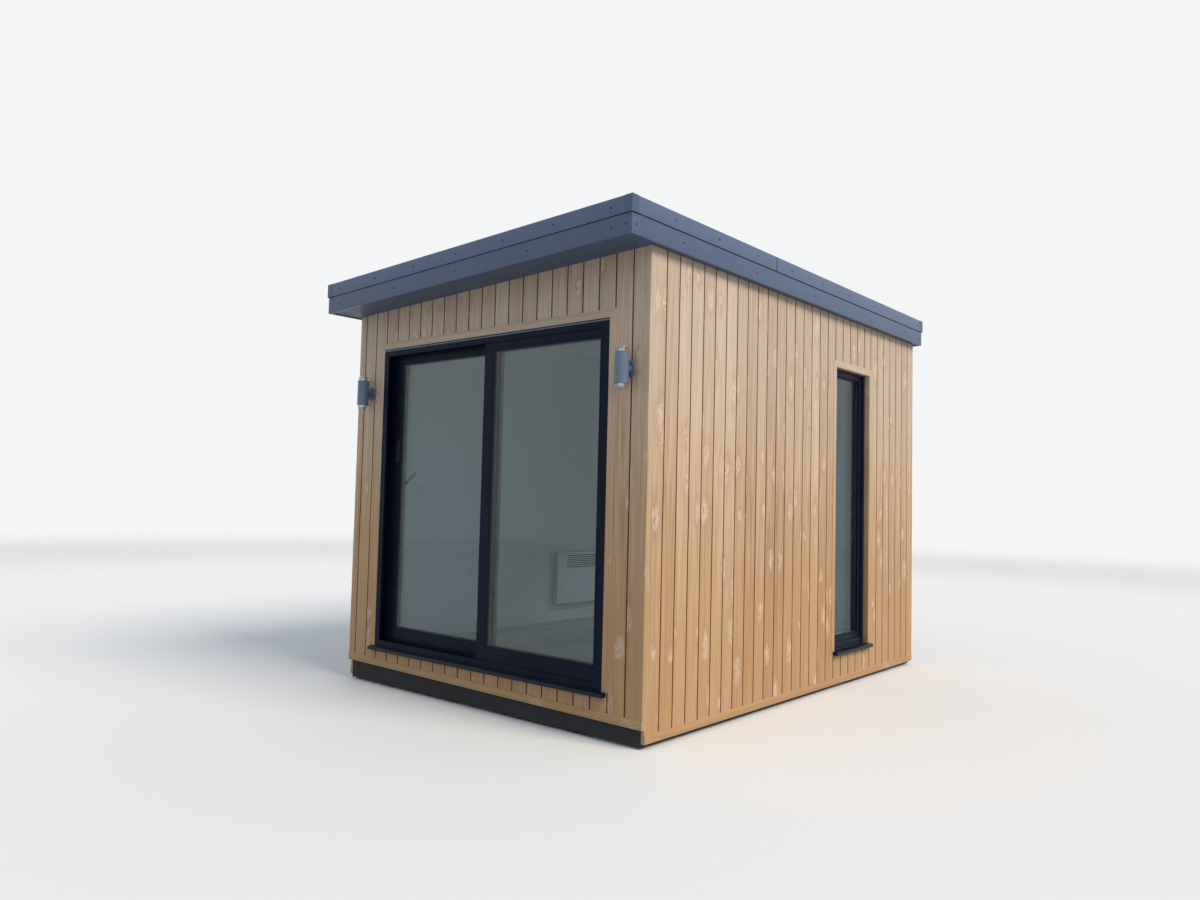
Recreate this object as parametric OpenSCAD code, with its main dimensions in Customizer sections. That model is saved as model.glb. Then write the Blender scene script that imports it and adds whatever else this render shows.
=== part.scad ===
// Garden office pod: a timber-clad, flat-roofed room with a two-panel sliding
// patio door, a tall side window and an anthracite roof edge.
// X runs along the front, +Y into the pod, +Z up. Z = 0 is the ground under the pads.
// The origin is on the ground under the middle of the roof.

/* [Pod] */
// Width over the cladding, along the front
pod_width = 2500; // [2300:10:3200]
// Depth over the cladding, front to back
pod_depth = 3500; // [3100:10:4400]
// Height of the soffit above the ground at the right-hand wall
eaves_height = 2549; // [2450:1:2900]
// The roof falls to the left, one in this many
roof_fall = 27; // [20:1:80]
// Roof overhang at the front
front_overhang = 237; // [120:1:400]
// Roof overhang at the left and right
side_overhang = 56; // [45:1:120]
// Roof overhang at the back
back_overhang = 56; // [45:1:120]

/* [Base] */
// Side of a square concrete pad
pad_size = 300; // [200:10:400]
// Height of the pads
pad_height = 50; // [40:1:80]
// Depth of the floor timbers
joist_depth = 145; // [120:1:200]
// Thickness of the floor timbers
joist_thk = 45; // [38:1:60]
// Number of joists between the end timbers
joist_count = 8; // [4:1:10]
// Thickness of the insulated floor deck
deck_thk = 34; // [22:1:60]
// Thickness of the floor finish
floor_finish_thk = 8; // [6:1:15]
// Thickness of the black plinth board
plinth_thk = 22; // [15:1:30]
// Gap between the plinth and the ground
plinth_gap = 12; // [8:1:25]

/* [Walls] */
// Thickness of a wall panel, battens and lining included
panel_thk = 145; // [110:1:200]
// Thickness of the cladding boards
cladding_thk = 20; // [16:1:26]
// Face width of a corner trim
corner_trim_w = 42; // [30:1:60]
// Width of the flat timber trims
trim_w = 45; // [35:1:60]
// How far the flat trims stand in front of the boards
trim_proud = 3; // [2:0.5:15]
// Height of the side and back base trims above the ground
side_trim_z = 30; // [20:1:60]
// Height of the front base trim above the ground at the right end
front_trim_z = 102; // [60:1:125]
// How much the front base trim rises towards its left end
front_trim_rise = 26; // [0:1:45]
// Height of the skirting board inside
skirting_h = 80; // [60:1:120]
// Thickness of the skirting board
skirting_thk = 15; // [10:1:20]
// Thickness of the ceiling board, and of the soffit
ceiling_thk = 12; // [9:1:18]

/* [Roof] */
// Thickness of the insulated roof deck
roof_deck_thk = 158; // [120:1:180]
// Thickness of the fascia boards
fascia_thk = 18; // [12:1:25]
// How far the fascia hangs below the soffit face
fascia_drop = 6; // [0:1:12]
// Height of the lower fascia tier that shows
fascia_show = 108; // [80:1:140]
// Height of the edge trim's face
edge_trim_h = 88; // [60:1:100]
// Wall thickness of the edge trim
edge_trim_thk = 3; // [2:0.5:5]
// How far the edge trim stands in front of the fascia
edge_trim_proud = 6; // [4:1:12]
// Width of the edge trim's top flange
edge_flange_w = 60; // [40:1:90]
// Leg of a corner cover on the edge trim
corner_cover_w = 50; // [30:1:80]
// Thickness of the roof membrane
membrane_thk = 3; // [1.5:0.5:5]

/* [Door] */
// Width of the door opening
door_width = 1952; // [1700:1:2000]
// From the right-hand corner to the door opening
door_right_margin = 266; // [200:1:300]
// From the soffit at the right wall down to the top of the door opening
door_head_drop = 344; // [300:1:450]
// Depth of the door's outer frame, front to back
door_frame_depth = 110; // [108:1:125]
// Face width of the door's jambs
jamb_w = 44; // [40:1:60]
// Height of the door's head
head_h = 48; // [40:1:60]
// Height of the threshold
threshold_h = 38; // [32:1:45]
// Wall thickness of the frame sections
frame_wall = 4; // [3:0.5:6]
// Thickness of a door panel
panel_depth = 36; // [32:1:40]
// Width of the fixed panel's outer stile
stile_w = 66; // [60:1:90]
// Width of the sliding panel's outer stile, which carries the lock
lock_stile_w = 103; // [90:1:110]
// Width of the two meeting stiles
meeting_stile_w = 90; // [70:1:95]
// Overlap of the two panels where they meet
meeting_overlap = 80; // [72:1:100]
// How far the meeting stiles stand right of the middle of the door
meeting_shift = 24.5; // [0:0.5:50]
// Height of the bottom rails that shows over the threshold
bottom_rail_show = 88; // [60:1:110]
// Height of the top rails that shows under the head
top_rail_show = 54; // [40:1:80]
// Thickness of the double glazing
glazing_thk = 24; // [20:1:28]
// Projection of the door and window sills in front of the cladding
sill_nose = 36; // [30:1:48]
// Height of the door and window sills
sill_h = 25; // [20:1:35]
// Diameter of the rollers under the sliding panel
roller_d = 24; // [18:1:28]
// Running gap round the sliding panel
run_gap = 6; // [5:0.5:9]

/* [Handles] */
// Height of the lever above the ground
lever_z = 1322; // [1150:1:1450]
// Length of the lever
lever_len = 120; // [100:1:140]
// Diameter of the lever's spindle hub
lever_hub_d = 24; // [20:1:30]
// Angle of the lever above level at rest
lever_angle = 37; // [0:1:60]
// Length of the pull on the outside of the sliding panel
pull_len = 135; // [120:1:200]
// Height of the middle of the pull above the ground
pull_z = 1531; // [1300:1:1650]

/* [Window] */
// From the front corner to the window opening
window_offset = 2125; // [1500:5:2150]
// Width of the window opening
window_width = 540; // [400:5:800]
// From the soffit at the right wall down to the top of the window opening
window_head_drop = 355; // [320:1:600]
// Face width of the window's frame that shows at the sides
window_side_show = 68; // [40:1:90]
// Face height of the window's frame that shows at the top
window_head_show = 49; // [30:1:70]
// Face height of the window's frame that shows over the sill
window_foot_show = 81; // [50:1:110]
// How far the cladding laps over the window's frame
window_lap = 34; // [10:1:40]
// Depth of the window's frame
window_frame_depth = 70; // [55:1:75]
// How far the window's frame is set back behind the cladding
window_setback = 15; // [5:1:20]
// How far the glass is set back in the window's frame
window_glass_in = 32; // [12:1:38]

/* [Fittings] */
// Diameter of a wall lamp
lamp_d = 76; // [60:1:90]
// Height of a wall lamp's metal body
lamp_body_h = 163; // [120:1:200]
// Height of the lamp's lens ring at each end
lamp_lens_h = 26; // [15:1:35]
// From the soffit at the right wall down to the middle of the lamps
lamp_drop = 631; // [550:1:750]
// Diameter of a lamp's wall plate
lamp_plate_d = 94; // [80:1:110]
// Distance of a lamp's axis from the cladding
lamp_reach = 66; // [60:1:100]
// From the right-hand corner to the right lamp
lamp_right_margin = 127; // [100:1:130]
// From the left-hand corner to the left lamp
lamp_left_margin = 144; // [100:1:190]
// Width of the panel heater
heater_w = 620; // [400:10:900]
// Height of the panel heater
heater_h = 430; // [350:5:500]
// Projection of the panel heater from the wall
heater_depth = 85; // [70:1:110]
// From the front cladding to the panel heater
heater_offset = 1790; // [1000:10:2200]
// Height of the panel heater over the floor
heater_rise = 135; // [100:5:250]
// Number of slots in the panel heater's grille
louvre_count = 7; // [4:1:9]
// Side of a square switch plate
plate_size = 86; // [80:1:90]
// Length of a double socket
socket_len = 146; // [140:1:150]
// Thickness of the switch plate and the double socket
plate_deep = 9; // [6:0.5:12]
// From the front cladding to the light switch
switch_offset = 370; // [300:5:600]
// Height of the light switch over the floor
switch_rise = 988; // [900:1:1200]
// From the front cladding to the double socket
socket_offset = 903; // [700:1:1100]
// Height of the double socket over the floor
socket_rise = 398; // [350:1:500]

/* [Hidden] */
$fn = 48;
seat_gap = 0.3;
right_x = pod_width / 2;
left_x = -right_x;
pod_y = (front_overhang - back_overhang) / 2;
front_y = pod_y - pod_depth / 2;
door_top = eaves_height - door_head_drop;
window_top = eaves_height - window_head_drop;
lamp_z = eaves_height - lamp_drop;
back_y = pod_y + pod_depth / 2;
wall_thk = cladding_thk + panel_thk;
core_in = cladding_thk + plinth_thk;
frame_z = pad_height;
deck_z = frame_z + joist_depth;
wall_z = deck_z + deck_thk;
floor_z = wall_z + floor_finish_thk;
base_z = wall_z + sill_h;
side_board_z = side_trim_z + trim_w;
board_over = trim_w + seat_gap;
door_x1 = right_x - door_right_margin;
door_x0 = door_x1 - door_width;
window_y0 = front_y + window_offset;
window_y1 = window_y0 + window_width;
window_x1 = right_x - cladding_thk - window_setback;
window_x0 = window_x1 - window_frame_depth;
hole_y = [window_y0 - window_lap, window_y1 + window_lap];
hole_z = [base_z, window_top + window_lap];
pane_y = [window_y0 + window_side_show, window_y1 - window_side_show];
pane_z = [base_z + window_foot_show, window_top - window_head_show];
roof_x = right_x + side_overhang;
roof_y0 = front_y - front_overhang;
roof_y1 = back_y + back_overhang;
trim_joint = fascia_show - fascia_drop;
roof_top = trim_joint + edge_trim_h;
deck_under = ceiling_thk + seat_gap;
deck_top = deck_under + roof_deck_thk;
trim_under = roof_top - edge_trim_thk - seat_gap;
clad_over = -seat_gap;
fascia_face = edge_trim_proud;
deck_inset = fascia_face + fascia_thk;
louvre_deep = 8;
louvre_side = 105;
louvre_top = 24;
louvre_pitch = 16;
louvre_slot = 8;
glass_set = 5;
lining_lap = 34;
pad_columns = 3;
pad_rows = 4;
cover_proud = 1.5;
door_sill_past = 28;
window_sill_past = 20;
sill_fall = 6;
drip_thk = 6;
drip_h = 8;
lamp_plate_thk = 12;
lamp_arm_d = 40;
lens_inset = 3;
through = 1;

// Door: tracks and panels, measured in from the front of the frame
rail_w = 8;
rail_h = 14;
front_track = 8;
fixed_y = front_y + front_track;
leaf_y = fixed_y + panel_depth + 2 * run_gap + frame_wall;
tray_z = base_z + frame_wall;
head_z = door_top - frame_wall;
panel_z0 = tray_z + rail_h + run_gap;
panel_z1 = head_z - run_gap;
glass_z = [base_z + threshold_h + bottom_rail_show, door_top - head_h - top_rail_show];
clear_x0 = door_x0 + jamb_w;
clear_x1 = door_x1 - jamb_w;
jamb_lap = 10;
leaf_x0 = clear_x0 - jamb_lap;
fixed_x1 = door_x1 - frame_wall - seat_gap;
meeting_x = (leaf_x0 + fixed_x1) / 2 + meeting_shift;
leaf_x1 = meeting_x + meeting_overlap / 2;
fixed_x0 = meeting_x - meeting_overlap / 2;
roller_z = tray_z + rail_h + seat_gap + roller_d / 2;
roller_inset = 140;
axle_d = 6;
slot_w = rail_w + 2 * run_gap;
lever_inset = 40;
lever_x = leaf_x0 + lock_stile_w - lever_inset;
fin_gap = 4;
pull_w = 24;
pull_rim = 4;
pull_proud = 4;
pull_pocket = 14;
lip_lap = 2;
lip_w = 3;
lip_thk = 2;
plate_thk = 8;
plate_w = 32;
plate_len = 210;
plate_drop = 20;
thumb_drop = 47;
thumb_d = 14;
thumb_wing = [5, 8, 20];
grip_y = 26;
grip_thk = 14;
grip_w = 20;
lever_y = leaf_y + panel_depth + plate_thk;

// Height of the soffit face at x
function soffit_z(x) = eaves_height - (right_x - x) / roof_fall;

// Height of the lower edge of the front base trim at x
function front_base_z(x) = front_trim_z + front_trim_rise * (right_x - x) / pod_width;

// A box between two corners
module box(x, y, z) {
    translate([x[0], y[0], z[0]])
        cube([x[1] - x[0], y[1] - y[0], z[1] - z[0]]);
}

// An outline in the XZ plane carried from y[0] to y[1]
module along_y(y, points) {
    translate([0, y[1], 0])
        rotate([90, 0, 0])
            linear_extrude(y[1] - y[0])
                polygon(points);
}

// An outline in the YZ plane carried from x[0] to x[1]
module along_x(x, points) {
    translate([x[0], 0, 0])
        rotate([90, 0, 90])
            linear_extrude(x[1] - x[0])
                polygon(points);
}

// A slab that follows the roof's fall, between two heights over the soffit
module roof_slab(x, y, over) {
    along_y(y, [
        [x[0], soffit_z(x[0]) + over[0]], [x[1], soffit_z(x[1]) + over[0]],
        [x[1], soffit_z(x[1]) + over[1]], [x[0], soffit_z(x[0]) + over[1]]]);
}

// A wall that stands on z and ends at a height over the soffit
module wall_slab(x, y, z, over) {
    along_y(y, [
        [x[0], z], [x[1], z],
        [x[1], soffit_z(x[1]) + over], [x[0], soffit_z(x[0]) + over]]);
}

// A ring that follows the roof's fall, inset from the roof's edge
module roof_ring(outer_in, inner_in, over) {
    difference() {
        roof_slab([-roof_x + outer_in, roof_x - outer_in],
            [roof_y0 + outer_in, roof_y1 - outer_in], over);
        roof_slab([-roof_x + inner_in, roof_x - inner_in],
            [roof_y0 + inner_in, roof_y1 - inner_in],
            [over[0] - through, over[1] + through]);
    }
}

module base_pads() {
    color("gray")
        for (ix = [0:pad_columns - 1], iy = [0:pad_rows - 1])
            translate([
                (left_x + core_in + pad_size / 2)
                    + ix * (pod_width - 2 * core_in - pad_size) / (pad_columns - 1),
                (front_y + core_in + pad_size / 2)
                    + iy * (pod_depth - 2 * core_in - pad_size) / (pad_rows - 1), 0])
                linear_extrude(pad_height)
                    square(pad_size, center = true);
}

module floor_frame() {
    x = [left_x + core_in, right_x - core_in];
    y = [front_y + core_in, back_y - core_in];
    z = [frame_z, deck_z];
    step = (y[1] - y[0] - joist_thk) / (joist_count + 1);
    color("burlywood") {
        box([x[0], x[0] + joist_thk], y, z);
        box([x[1] - joist_thk, x[1]], y, z);
        for (i = [0:joist_count + 1])
            box(x, [y[0] + i * step, y[0] + i * step + joist_thk], z);
    }
}

module plinth() {
    color("black")
        difference() {
            box([left_x + cladding_thk, right_x - cladding_thk],
                [front_y + cladding_thk, back_y - cladding_thk], [plinth_gap, wall_z]);
            box([left_x + core_in, right_x - core_in],
                [front_y + core_in, back_y - core_in],
                [plinth_gap - through, wall_z + through]);
        }
}

module floor_deck() {
    color("tan")
        box([left_x + core_in, right_x - core_in],
            [front_y + core_in, back_y - core_in], [deck_z, wall_z]);
}

module floor_finish() {
    color("rosybrown")
        box([left_x + wall_thk, right_x - wall_thk],
            [front_y + wall_thk, back_y - wall_thk], [wall_z, floor_z]);
}

module front_wall_left() {
    color("whitesmoke")
        wall_slab([left_x + cladding_thk, door_x0],
            [front_y + cladding_thk, front_y + wall_thk], wall_z, ceiling_thk);
}

module front_wall_right() {
    color("whitesmoke")
        wall_slab([door_x1, right_x - cladding_thk],
            [front_y + cladding_thk, front_y + wall_thk], wall_z, ceiling_thk);
}

module front_wall_head() {
    color("whitesmoke")
        wall_slab([door_x0, door_x1],
            [front_y + cladding_thk, front_y + wall_thk], door_top, ceiling_thk);
}

module back_wall() {
    color("whitesmoke")
        wall_slab([left_x + cladding_thk, right_x - cladding_thk],
            [back_y - wall_thk, back_y - cladding_thk], wall_z, ceiling_thk);
}

module left_wall() {
    color("whitesmoke")
        wall_slab([left_x + cladding_thk, left_x + wall_thk],
            [front_y + wall_thk, back_y - wall_thk], wall_z, ceiling_thk);
}

module right_wall() {
    color("whitesmoke")
        difference() {
            wall_slab([right_x - wall_thk, right_x - cladding_thk],
                [front_y + wall_thk, back_y - wall_thk], wall_z, ceiling_thk);
            box([right_x - wall_thk - through, right_x], hole_y, hole_z);
            // The seat of the window's sill
            box([window_x1, right_x], [window_y0, window_y1], [wall_z, base_z + through]);
        }
}

// The boards stop at the flat trims, which are let in between them
module front_cladding() {
    x = [left_x + corner_trim_w, right_x - corner_trim_w];
    y = [front_y - through, front_y + wall_thk];
    color("peru")
        difference() {
            along_y([front_y, front_y + cladding_thk], [
                [x[0], front_base_z(x[0]) + board_over], [x[1], front_base_z(x[1]) + board_over],
                [x[1], soffit_z(x[1]) + clad_over], [x[0], soffit_z(x[0]) + clad_over]]);
            box([door_x0, door_x1], y, [wall_z, door_top]);
            box([door_x0 - trim_w, door_x1 + trim_w], y, [base_z, door_top + trim_w]);
        }
}

module back_cladding() {
    color("peru")
        wall_slab([left_x + corner_trim_w, right_x - corner_trim_w],
            [back_y - cladding_thk, back_y], side_board_z, clad_over);
}

module left_cladding() {
    color("peru")
        wall_slab([left_x, left_x + cladding_thk],
            [front_y + corner_trim_w, back_y - corner_trim_w], side_board_z, clad_over);
}

module right_cladding() {
    x = [right_x - cladding_thk - through, right_x + through];
    color("peru")
        difference() {
            wall_slab([right_x - cladding_thk, right_x],
                [front_y + corner_trim_w, back_y - corner_trim_w], side_board_z, clad_over);
            box(x, [window_y0, window_y1], [wall_z, window_top]);
            box(x, [window_y0 - trim_w, window_y1 + trim_w], [base_z, window_top + trim_w]);
        }
}

// Two boards at a corner: one faces front or back, the other faces the side behind it
module corner_trim(cx, cy, sx, sy, z) {
    face_y = [cy, cy + sy * cladding_thk];
    side_y = [cy + sy * cladding_thk, cy + sy * corner_trim_w];
    face_x = [cx, cx + sx * corner_trim_w];
    side_x = [cx, cx + sx * cladding_thk];
    wall_slab([min(face_x), max(face_x)], [min(face_y), max(face_y)], z, clad_over);
    wall_slab([min(side_x), max(side_x)], [min(side_y), max(side_y)], side_board_z, clad_over);
}

module corner_trims() {
    color("burlywood") {
        corner_trim(right_x, front_y, -1, 1, front_base_z(right_x - corner_trim_w) + board_over);
        corner_trim(left_x, front_y, 1, 1, front_base_z(left_x) + board_over);
        corner_trim(right_x, back_y, -1, -1, side_board_z);
        corner_trim(left_x, back_y, 1, -1, side_board_z);
    }
}

// The battens let in along the foot of each wall
module base_trims() {
    z = [side_trim_z, side_board_z];
    y = [front_y + cladding_thk, back_y - cladding_thk];
    color("burlywood") {
        along_y([front_y - trim_proud, front_y + cladding_thk], [
            [left_x, front_base_z(left_x)], [right_x, front_base_z(right_x)],
            [right_x, front_base_z(right_x) + trim_w],
            [left_x, front_base_z(left_x) + trim_w]]);
        box([right_x - cladding_thk, right_x + trim_proud], y, z);
        box([left_x - trim_proud, left_x + cladding_thk], y, z);
        box([left_x, right_x], [back_y - cladding_thk + seat_gap, back_y + trim_proud], z);
    }
}

// Flat trims round the door and the window, open at the sills
module opening_trims() {
    y = [front_y - trim_proud, front_y + cladding_thk];
    x = [right_x - cladding_thk, right_x + trim_proud];
    color("burlywood") {
        difference() {
            box([door_x0 - trim_w, door_x1 + trim_w], y, [base_z, door_top + trim_w]);
            box([door_x0, door_x1], [y[0] - through, y[1] + through],
                [base_z - through, door_top]);
        }
        difference() {
            union() {
                box(x, [window_y0 - trim_w, window_y1 + trim_w],
                    [base_z, window_top + trim_w]);
                // The reveal that leads in to the window's frame
                box([window_x1, x[0]], hole_y, hole_z);
            }
            box([window_x1 - through, x[1] + through],
                [window_y0, window_y1], [base_z - through, window_top]);
        }
    }
}

// White linings: at the door they cover the inner faces of the jambs
module inner_linings() {
    color("white") {
        difference() {
            box([door_x0, door_x1],
                [front_y + door_frame_depth, front_y + wall_thk], [floor_z, door_top]);
            box([clear_x0 + lining_lap, clear_x1 - lining_lap],
                [front_y + door_frame_depth - through, front_y + wall_thk + through],
                [floor_z - through, door_top - ceiling_thk]);
        }
        difference() {
            box([right_x - wall_thk, window_x0], hole_y, hole_z);
            box([right_x - wall_thk - through, right_x],
                [hole_y[0] + ceiling_thk, hole_y[1] - ceiling_thk],
                [hole_z[0] + ceiling_thk, hole_z[1] - ceiling_thk]);
        }
    }
}

module skirting() {
    x = [left_x + wall_thk, right_x - wall_thk];
    y = [front_y + wall_thk, back_y - wall_thk];
    color("white")
        difference() {
            box(x, y, [floor_z, floor_z + skirting_h]);
            box([x[0] + skirting_thk, x[1] - skirting_thk],
                [y[0] + skirting_thk, y[1] - skirting_thk],
                [floor_z - through, floor_z + skirting_h + through]);
            box([clear_x0 + lining_lap, clear_x1 - lining_lap],
                [y[0] - through, y[0] + 2 * skirting_thk],
                [floor_z - through, floor_z + skirting_h + through]);
        }
}

module ceiling() {
    color("white")
        roof_slab([left_x + wall_thk, right_x - wall_thk],
            [front_y + wall_thk, back_y - wall_thk], [0, ceiling_thk]);
}

module soffit() {
    color("dimgray")
        difference() {
            roof_slab([-roof_x + deck_inset, roof_x - deck_inset],
                [roof_y0 + deck_inset, roof_y1 - deck_inset], [0, ceiling_thk]);
            roof_slab([left_x + cladding_thk, right_x - cladding_thk],
                [front_y + cladding_thk, back_y - cladding_thk],
                [-through, ceiling_thk + through]);
        }
}

// The insulated deck with a kerb round its edge
module roof_deck() {
    kerb_w = edge_flange_w - deck_inset;
    color("khaki")
        difference() {
            roof_slab([-roof_x + deck_inset, roof_x - deck_inset],
                [roof_y0 + deck_inset, roof_y1 - deck_inset],
                [deck_under, trim_under]);
            roof_slab([-roof_x + deck_inset + kerb_w, roof_x - deck_inset - kerb_w],
                [roof_y0 + deck_inset + kerb_w, roof_y1 - deck_inset - kerb_w],
                [deck_top, roof_top]);
        }
}

module roof_membrane() {
    edge = edge_flange_w;
    color("darkslategray")
        difference() {
            roof_slab([-roof_x + edge, roof_x - edge], [roof_y0 + edge, roof_y1 - edge],
                [deck_top + seat_gap, trim_under]);
            roof_slab([-roof_x + edge + membrane_thk, roof_x - edge - membrane_thk],
                [roof_y0 + edge + membrane_thk, roof_y1 - edge - membrane_thk],
                [deck_top + seat_gap + membrane_thk, roof_top]);
        }
}

module fascia() {
    color("slategray")
        roof_ring(fascia_face, deck_inset, [-fascia_drop, trim_under]);
}

// A folded edge trim: face, drip return and top flange
module edge_trim() {
    color("slategray") {
        roof_ring(0, edge_trim_thk, [trim_joint, roof_top]);
        roof_ring(0, edge_flange_w, [roof_top - edge_trim_thk, roof_top]);
        roof_ring(0, fascia_face, [trim_joint, trim_joint + edge_trim_thk]);
    }
}

module corner_covers() {
    color("slategray")
        for (sx = [-1, 1], cy = [[roof_y0, 1], [roof_y1, -1]]) {
            x = [sx * (roof_x + cover_proud), sx * (roof_x - corner_cover_w)];
            y = [cy[0] - cy[1] * cover_proud, cy[0] + cy[1] * corner_cover_w];
            xi = [sx * roof_x, sx * (roof_x - 2 * corner_cover_w)];
            yi = [cy[0], cy[0] + cy[1] * 2 * corner_cover_w];
            difference() {
                roof_slab([min(x), max(x)], [min(y), max(y)], [trim_joint, roof_top]);
                roof_slab([min(xi), max(xi)], [min(yi), max(yi)],
                    [trim_joint - through, roof_top + through]);
            }
        }
}

// A sill with a sloped top and a nose, carried along its length
module door_sill() {
    nose_y = front_y - sill_nose;
    color("black") {
        along_x([door_x0 - door_sill_past, door_x1 + door_sill_past], [
            [nose_y, wall_z], [nose_y + drip_thk, wall_z], [nose_y + drip_thk, wall_z + drip_h],
            [front_y, wall_z + drip_h], [front_y, base_z], [nose_y, base_z - sill_fall]]);
        box([door_x0, door_x1], [front_y, front_y + door_frame_depth], [wall_z, base_z]);
    }
}

// The threshold: a tray with a front lip, a middle lip, a roller rail and a back lip
module door_threshold() {
    x = [door_x0, door_x1];
    y0 = front_y;
    y1 = front_y + door_frame_depth;
    leaf_mid = leaf_y + panel_depth / 2;
    color("black") {
        box(x, [y0, y1], [base_z, base_z + frame_wall]);
        box(x, [y0, y0 + frame_wall], [base_z, base_z + threshold_h]);
        box([clear_x0, clear_x1], [leaf_y - run_gap - frame_wall, leaf_y - run_gap],
            [base_z, base_z + threshold_h]);
        box([clear_x0, clear_x1], [leaf_mid - rail_w / 2, leaf_mid + rail_w / 2],
            [base_z, base_z + frame_wall + rail_h]);
        box(x, [y1 - frame_wall, y1], [base_z, base_z + threshold_h]);
        for (end = [x[0], x[1] - frame_wall])
            box([end, end + frame_wall], [y0, y1], [base_z, base_z + threshold_h]);
    }
}

module door_head() {
    x = [door_x0, door_x1];
    y0 = front_y;
    y1 = front_y + door_frame_depth;
    z = [door_top - head_h, door_top];
    color("black") {
        box(x, [y0, y1], [door_top - frame_wall, door_top]);
        box(x, [y0, y0 + frame_wall], z);
        box([clear_x0, clear_x1], [leaf_y - run_gap - frame_wall, leaf_y - run_gap], z);
        box(x, [y1 - frame_wall, y1], z);
        for (end = [x[0], x[1] - frame_wall])
            box([end, end + frame_wall], [y0, y1], z);
    }
}

// One jamb: a channel with a rib between its two pockets, opening towards s
module door_jamb(x0, s) {
    y0 = front_y;
    y1 = front_y + door_frame_depth;
    z = [base_z + threshold_h, door_top - head_h];
    x1 = x0 + s * jamb_w;
    xs = [min(x0, x1), max(x0, x1)];
    web = [min(x0, x0 + s * frame_wall), max(x0, x0 + s * frame_wall)];
    box(web, [y0, y1], z);
    box(xs, [y0, y0 + frame_wall], z);
    box(xs, [leaf_y - run_gap - frame_wall, leaf_y - run_gap], z);
    box(xs, [y1 - frame_wall, y1], z);
}

module door_jambs() {
    color("black") {
        door_jamb(door_x0, 1);
        door_jamb(door_x1, -1);
    }
}

// A door panel: two stiles and two rails round a glazed opening
module panel_frame(x, y0, left_w, right_w, z) {
    difference() {
        box(x, [y0, y0 + panel_depth], z);
        box([x[0] + left_w, x[1] - right_w], [y0 - through, y0 + panel_depth + through],
            glass_z);
    }
}

module panel_glass(x, y0, left_w, right_w) {
    box([x[0] + left_w, x[1] - right_w], [y0 + glass_set, y0 + glass_set + glazing_thk],
        glass_z);
}

module fixed_panel() {
    y1 = fixed_y + panel_depth;
    color("black") {
        panel_frame([fixed_x0, fixed_x1], fixed_y, meeting_stile_w, stile_w,
            [tray_z + seat_gap, head_z - seat_gap]);
        // The fin that closes the gap to the sliding panel
        box([fixed_x0, fixed_x0 + frame_wall], [y1, leaf_y - run_gap],
            [base_z + threshold_h + fin_gap, door_top - head_h - fin_gap]);
    }
}

module fixed_glass() {
    color("lightblue")
        panel_glass([fixed_x0, fixed_x1], fixed_y, meeting_stile_w, stile_w);
}

module sliding_panel() {
    color("black") {
        // The fin that closes the gap to the fixed panel
        box([leaf_x1 - frame_wall, leaf_x1], [fixed_y + panel_depth + run_gap, leaf_y],
            [base_z + threshold_h + fin_gap, door_top - head_h - fin_gap]);
        difference() {
            panel_frame([leaf_x0, leaf_x1], leaf_y, lock_stile_w, meeting_stile_w,
                [panel_z0, panel_z1]);
            // The finger pocket behind the pull
            box([lever_x - pull_w / 2 + pull_rim, lever_x + pull_w / 2 - pull_rim],
                [leaf_y - through, leaf_y + pull_pocket],
                [pull_z - pull_len / 2 + pull_rim, pull_z + pull_len / 2 - pull_rim]);
            box([leaf_x0 - through, leaf_x1 + through],
                [leaf_y + (panel_depth - slot_w) / 2, leaf_y + (panel_depth + slot_w) / 2],
                [panel_z0 - through, roller_z + roller_d / 2 + run_gap]);
        }
    }
}

module sliding_glass() {
    color("lightblue")
        panel_glass([leaf_x0, leaf_x1], leaf_y, lock_stile_w, meeting_stile_w);
}

module rollers() {
    color("silver")
        for (x = [leaf_x0 + roller_inset, leaf_x1 - roller_inset])
            translate([x, leaf_y + panel_depth / 2, roller_z])
                rotate([90, 0, 0]) {
                    cylinder(d = roller_d, h = rail_w, center = true);
                    cylinder(d = axle_d, h = slot_w - 2 * seat_gap, center = true);
                }
}

// A flush pull: a rim round a finger pocket, with a lip to pull on
module pull_handle() {
    x = [lever_x - pull_w / 2, lever_x + pull_w / 2];
    z = [pull_z - pull_len / 2, pull_z + pull_len / 2];
    color("dimgray") {
        difference() {
            box(x, [leaf_y - pull_proud, leaf_y], z);
            box([x[0] + pull_rim, x[1] - pull_rim],
                [leaf_y - pull_proud - through, leaf_y + through],
                [z[0] + pull_rim, z[1] - pull_rim]);
        }
        box([x[0] + pull_rim - lip_lap, x[0] + pull_rim + lip_w],
            [leaf_y - pull_proud, leaf_y - pull_proud + lip_thk],
            [z[0] + lip_lap, z[1] - lip_lap]);
    }
}

module lever_plate() {
    color("black") {
        translate([lever_x, leaf_y + panel_depth, lever_z - plate_drop])
            rotate([-90, 0, 0])
                linear_extrude(plate_thk)
                    square([plate_w, plate_len], center = true);
        translate([lever_x, lever_y, lever_z - thumb_drop])
            rotate([-90, 0, 0])
                cylinder(d = thumb_d, h = thumb_d);
        translate([lever_x, lever_y + thumb_d + thumb_wing[1] / 2 - through, lever_z - thumb_drop])
            cube(thumb_wing, center = true);
    }
}

// The lever: a hub on the spindle and a straight grip
module lever_handle() {
    color("black")
        translate([lever_x, lever_y + seat_gap, lever_z])
            rotate([0, -lever_angle, 0])
                union() {
                    rotate([-90, 0, 0])
                        cylinder(d = lever_hub_d, h = grip_y + grip_thk);
                    translate([0, grip_y, -grip_w / 2])
                        cube([lever_len - grip_w / 2, grip_thk, grip_w]);
                    translate([lever_len - grip_w / 2, grip_y, 0])
                        rotate([-90, 0, 0])
                            cylinder(d = grip_w, h = grip_thk);
                }
}

module window_frame() {
    color("black")
        difference() {
            box([window_x0, window_x1], hole_y, hole_z);
            box([window_x0 - through, window_x1 + through], pane_y, pane_z);
        }
}

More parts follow.
